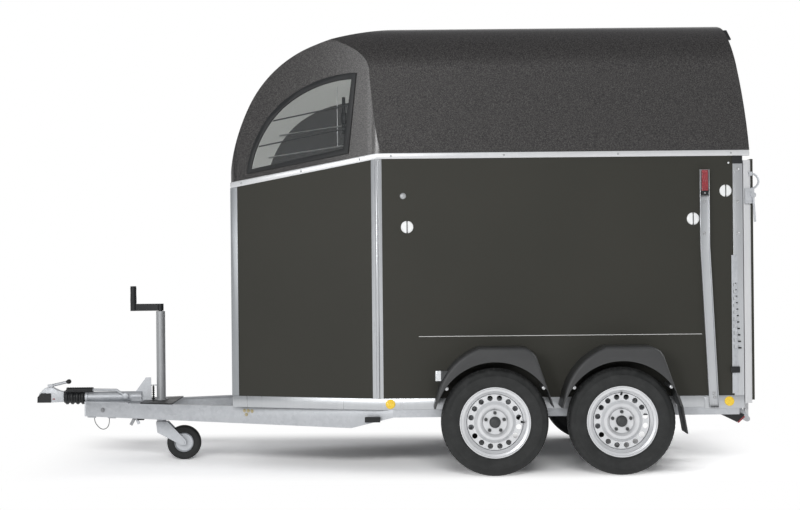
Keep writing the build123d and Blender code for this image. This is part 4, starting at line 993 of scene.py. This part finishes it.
def swell(pad, held_share, most=0.009, frames=20):
    """Blow a pad up by Cloth with pressure, held at its seams; no point moves further than most."""
    held = pad.vertex_groups.new(name="seams")
    held.add([v.index for v in pad.data.vertices if held_share(v.co.x) > 0.2], 1.0, "REPLACE")
    start = [v.co.copy() for v in pad.data.vertices]
    cloth = pad.modifiers.new("swell", "CLOTH")
    cloth.settings.use_pressure = True
    cloth.settings.uniform_pressure_force = 4
    cloth.settings.effector_weights.gravity = 0
    cloth.settings.vertex_group_mass = "seams"
    cloth.settings.quality = 4
    cloth.collision_settings.use_collision = False
    scene = bpy.context.scene
    for count in range(1, frames + 1):
        scene.frame_set(count)
    swollen = pad.evaluated_get(bpy.context.evaluated_depsgraph_get()).to_mesh()
    moved = [v.co.copy() for v in swollen.vertices]
    pad.modifiers.remove(cloth)
    scene.frame_set(1)
    for vertex, before, after in zip(pad.data.vertices, start, moved):
        step = after - before
        vertex.co = before + step * min(1.0, most / max(step.length, 1e-9))
    pad.vertex_groups.clear()


def make_partition():
    """The padded board between the stalls, sewn in upright channels, with a steel edge below."""
    raised, thinned, voxel = 0.016, 0.58, 0.0125
    first_seam, seam_pitch, seam_half, seam_depth = 0.172, 0.206, 0.014, 0.3
    seams = [first_seam + seam_pitch * i for i in range(9)]

    def near_seam(x):
        return max(0.0, 1 - min(abs(x - seam) for seam in seams) / seam_half)

    pad = softened("partition", 0)
    pad.data.transform(Matrix.Translation((0, 0, raised)) @ Matrix.Diagonal((1, thinned, 1, 1)))
    modifier = pad.modifiers.new("even", "REMESH")
    modifier.mode = "VOXEL"
    modifier.voxel_size = voxel
    apply_all(pad)
    swell(pad, near_seam)
    modifier = pad.modifiers.new("fine", "SUBSURF")
    modifier.levels = modifier.render_levels = 1
    apply_all(pad)
    for vertex in pad.data.vertices:
        vertex.co.y *= 1 - seam_depth * near_seam(vertex.co.x)
    smooth(pad, 60)
    settle(pad, "padded_partition", "padding", replaces=("partition",))
    edge = block((first_seam, -0.0165, 0.860), (first_seam + 8 * seam_pitch + 0.002, 0.0165, 0.876), 0.003)
    smooth(edge)
    settle(edge, "partition_edge", "galvanised")


def make_guard_stays():
    """Bright stay tubes that hold the mudguards, seen inside their arches."""
    stay = lathe([(0, 0.2375), (0.006, 0.2370), (0.0105, 0.2345), (0.0115, 0.2310), (0.0115, 0), (0, 0)], 24)
    stood(stay, turn="-Y")
    outer_y, beside, above = -0.851, 0.283, 0.205
    places = [(x + dx, outer_y, WHEEL_Z + above) for x in AXLES.values() for dx in (beside, -beside)]
    both_sides(stay, "guard_stays", "bright_bolt", places)


def make_window_fittings():
    """Opener and stay rod behind each front side window."""
    bar_and_housing = ((2.035, 2.255, 0.019, 0.012), (2.095, 2.16, 0.030, 0.018))
    opener = joined([block((-width / 2, -deep / 2, low), (width / 2, deep / 2, high), 0.004)
                     for low, high, width, deep in bar_and_housing])
    stood(opener, cheek(0.742, -0.020, 0), (0, 0, -CHEEK_TURN))
    both_sides(opener, "window_openers", "black_plastic")
    rod = lathe([(0, 0.365), (0.0018, 0.3645), (0.0022, 0.362), (0.0022, 0.003), (0.0018, 0.0005),
                 (0, 0)], 12)
    both_sides(stood(rod, cheek(0.697, -0.028, 1.955)), "window_stays", "bright_bolt")


def make_window_bars():
    """Two bars behind each front side window: dark on the left, painted shade behind the tinted pane, and
    bright on the right.
    """
    behind, end_round = -0.0123, 0.001
    # Painted shade: the near left bars take a dark finish, the far right ones bright metal.
    for name, radius, coat in (("left", 0.0042, "dark_cap"), ("right", 0.0062, "aluminium")):
        parts = []
        for z, start, end in ((1.944, 0.150, 0.812), (2.082, 0.226, 0.828)):
            low = cheek(start, behind, z + CHEEK_SLOPE * start, SIDES[name])
            high = cheek(end, behind, z + CHEEK_SLOPE * end, SIDES[name])
            length = (high - low).length
            bar = lathe([(0, length), (0.8 * radius, length), (radius, length - end_round),
                         (radius, end_round), (0.8 * radius, 0), (0, 0)], 20)
            lean = (high - low).to_track_quat("Z", "Y").to_matrix().to_4x4()
            bar.data.transform(Matrix.Translation(low) @ lean)
            parts.append(bar)
        bars = joined(parts)
        smooth(bars)
        settle(bars, "window_bars_" + name, coat, replaces=("window_bars",))


def ribbed(length, count, pitch, first, rib, tip, foot):
    """An outline of a grip or spring from its top down: a tip, ribs at an even pitch, and a foot."""
    outline = [(radius, length + z) for radius, z in tip]
    for i in range(count - 1, -1, -1):
        outline += [(radius, first + i * pitch + z) for radius, z in rib]
    return outline + foot


def turned(outline, steps, name, place, turn="Z"):
    """A black moulded piece, lathed and put in its place on the drawbar."""
    piece = stood(lathe(outline, steps), place, turn)
    smooth(piece)
    settle(piece, name, "black_plastic")


def make_drawbar_grips():
    """Black knob of the coupling handle, and the grips of the handbrake and the crank."""
    turned([(0, 0.017), (0.006, 0.0163), (0.0115, 0.0125), (0.0148, 0.006), (0.0152, 0), (0.0138, -0.007),
            (0.0095, -0.0135), (0.008, -0.019), (0, -0.019)], 28, "lever_knob", (-2.046, 0, 0.5065),
           (0, math.radians(78), 0))
    grip = ribbed(0.172, 10, 0.0152, 0.014,
                  rib=((0.0165, 0.0075), (0.0155, 0.0065), (0.0155, 0.0015), (0.0165, 0.0005)),
                  tip=((0, 0), (0.0125, 0), (0.0165, -0.004)), foot=[(0.0165, 0.006), (0.0150, 0), (0, 0)])
    turned(grip, 28, "brake_grip", (-2.049, -0.054, 0.457), "X")
    turned([(0, 0.1160), (0.0120, 0.1155), (0.0185, 0.1110), (0.0200, 0.1040), (0.0192, 0.0700),
            (0.0204, 0.0300), (0.0200, 0.0060), (0.0170, 0.0008), (0, 0.0008)], 32, "crank_grip",
           (-1.624, 0, 1.0015))


def make_drawbar_details():
    """The drawbar's red wear mark, ribs, release spring, small levers, boot and box."""
    mark = block((-0.007, -0.0320, -0.004), (0.007, -0.0300, 0.004), 0.0009)
    settle(stood(mark, (-2.137, 0, 0.397)), "wear_mark", "red_lens")

    ribs = []
    for z in (0.334, 0.314):
        rib = block((0, -0.0022, -0.0032), (0.140, 0.0010, 0.0032), 0.0014)
        ribs.append(stood(rib, rail(0.575, 0, z), (0, 0, -RAIL_TURN)))
    both_sides(joined(ribs), "rail_ribs", "galvanised")

    coil = ((0.0045, 0.0085), (0.0080, 0.0070), (0.0088, 0.0045), (0.0080, 0.0020), (0.0045, 0.0005))
    spring = ribbed(0.092, 7, 0.012, 0.006, coil, tip=((0, 0), (0.004, 0)), foot=[(0.004, 0), (0, 0)])
    turned(spring, 20, "release_spring", (-1.5005, 0, 0.3835))
    settle(block((-1.516, -0.004, 0.4755), (-1.478, 0.004, 0.4835), 0.002), "spring_hook", "bright_bolt")

    lever = block((-0.010, -0.004, -0.052), (0.010, 0.004, 0.004), 0.003)
    link = block((-0.009, -0.003, -0.044), (0.009, 0.003, 0.004), 0.0025)
    stood(lever, (-1.600, -0.150, 0.283), (0, math.radians(28), 0))
    stood(link, (-1.592, -0.138, 0.283), (0, math.radians(-24), 0))
    settle(lever, "brake_lever", "drum_metal")
    settle(link, "brake_link", "galvanised")
    turned([(0, 0.046), (0.005, 0.0455), (0.0075, 0.042), (0.0075, 0.004), (0.005, 0.0005), (0, 0)], 16,
           "rod_boot", (-1.585, -0.142, 0.274), "X")
    box = block((-0.118, -0.846, 0.306), (-0.026, -0.812, 0.3375), 0.003)
    settle(box, "cable_box", "black_plastic")


def make_curtain():
    """The rear curtain, rolled up: a spiral of cloth with a strap near each end."""
    outer, inner, pitch, start_turn, rows = 0.0338, 0.012, 0.004, 1.9, 16
    width = CURTAIN_SHEET[0]
    turns = (outer - inner) / pitch
    steps = int(turns * 28)
    points = []
    for i in range(steps + 1):
        angle = 2 * math.pi * turns * i / steps
        radius = outer - pitch * angle / (2 * math.pi)
        points.append((CURTAIN_X + radius * math.cos(angle + start_turn), -width / 2,
                       CURTAIN_Z + radius * math.sin(angle + start_turn)))
    sheet = chain(points)
    select_all()
    for _ in range(rows):
        bpy.ops.mesh.extrude_edges_move(TRANSFORM_OT_translate={"value": (0, width / rows, 0)})
    bpy.ops.object.mode_set(mode="OBJECT")
    smooth(sheet, 60)
    settle(sheet, "rolled_curtain", "curtain_fabric", replaces=("curtain_roll",))

    strap_inner, strap_outer, strap_half = 0.0344, 0.0352, 0.019
    straps = []
    for y in (-0.52, 0.52):
        strap = lathe([(strap_inner, -strap_half), (strap_outer, -strap_half), (strap_outer, strap_half),
                       (strap_inner, strap_half)], 56, closed=True)
        straps.append(stood(strap, (CURTAIN_X, y, CURTAIN_Z), "-Y"))
    straps = joined(straps)
    smooth(straps)
    settle(straps, "curtain_straps", "black_plastic")


make_camera()
make_cable()
light_world()
make_floor()
for lamp in LAMPS:
    soft_lamp(*lamp)
dress_frame()
line_hood()
darken_pane()
paint_plate_shade()
soften_frame()
make_tyres()
make_wheel_caps()
make_jockey_tyre()
make_wall_caps()
make_reflectors()
make_fixings()
make_rear_fittings()
make_marker_lamps()
make_nose_cap()
make_partition()
make_guard_stays()
make_window_fittings()
make_window_bars()
make_drawbar_grips()
make_drawbar_details()
make_curtain()
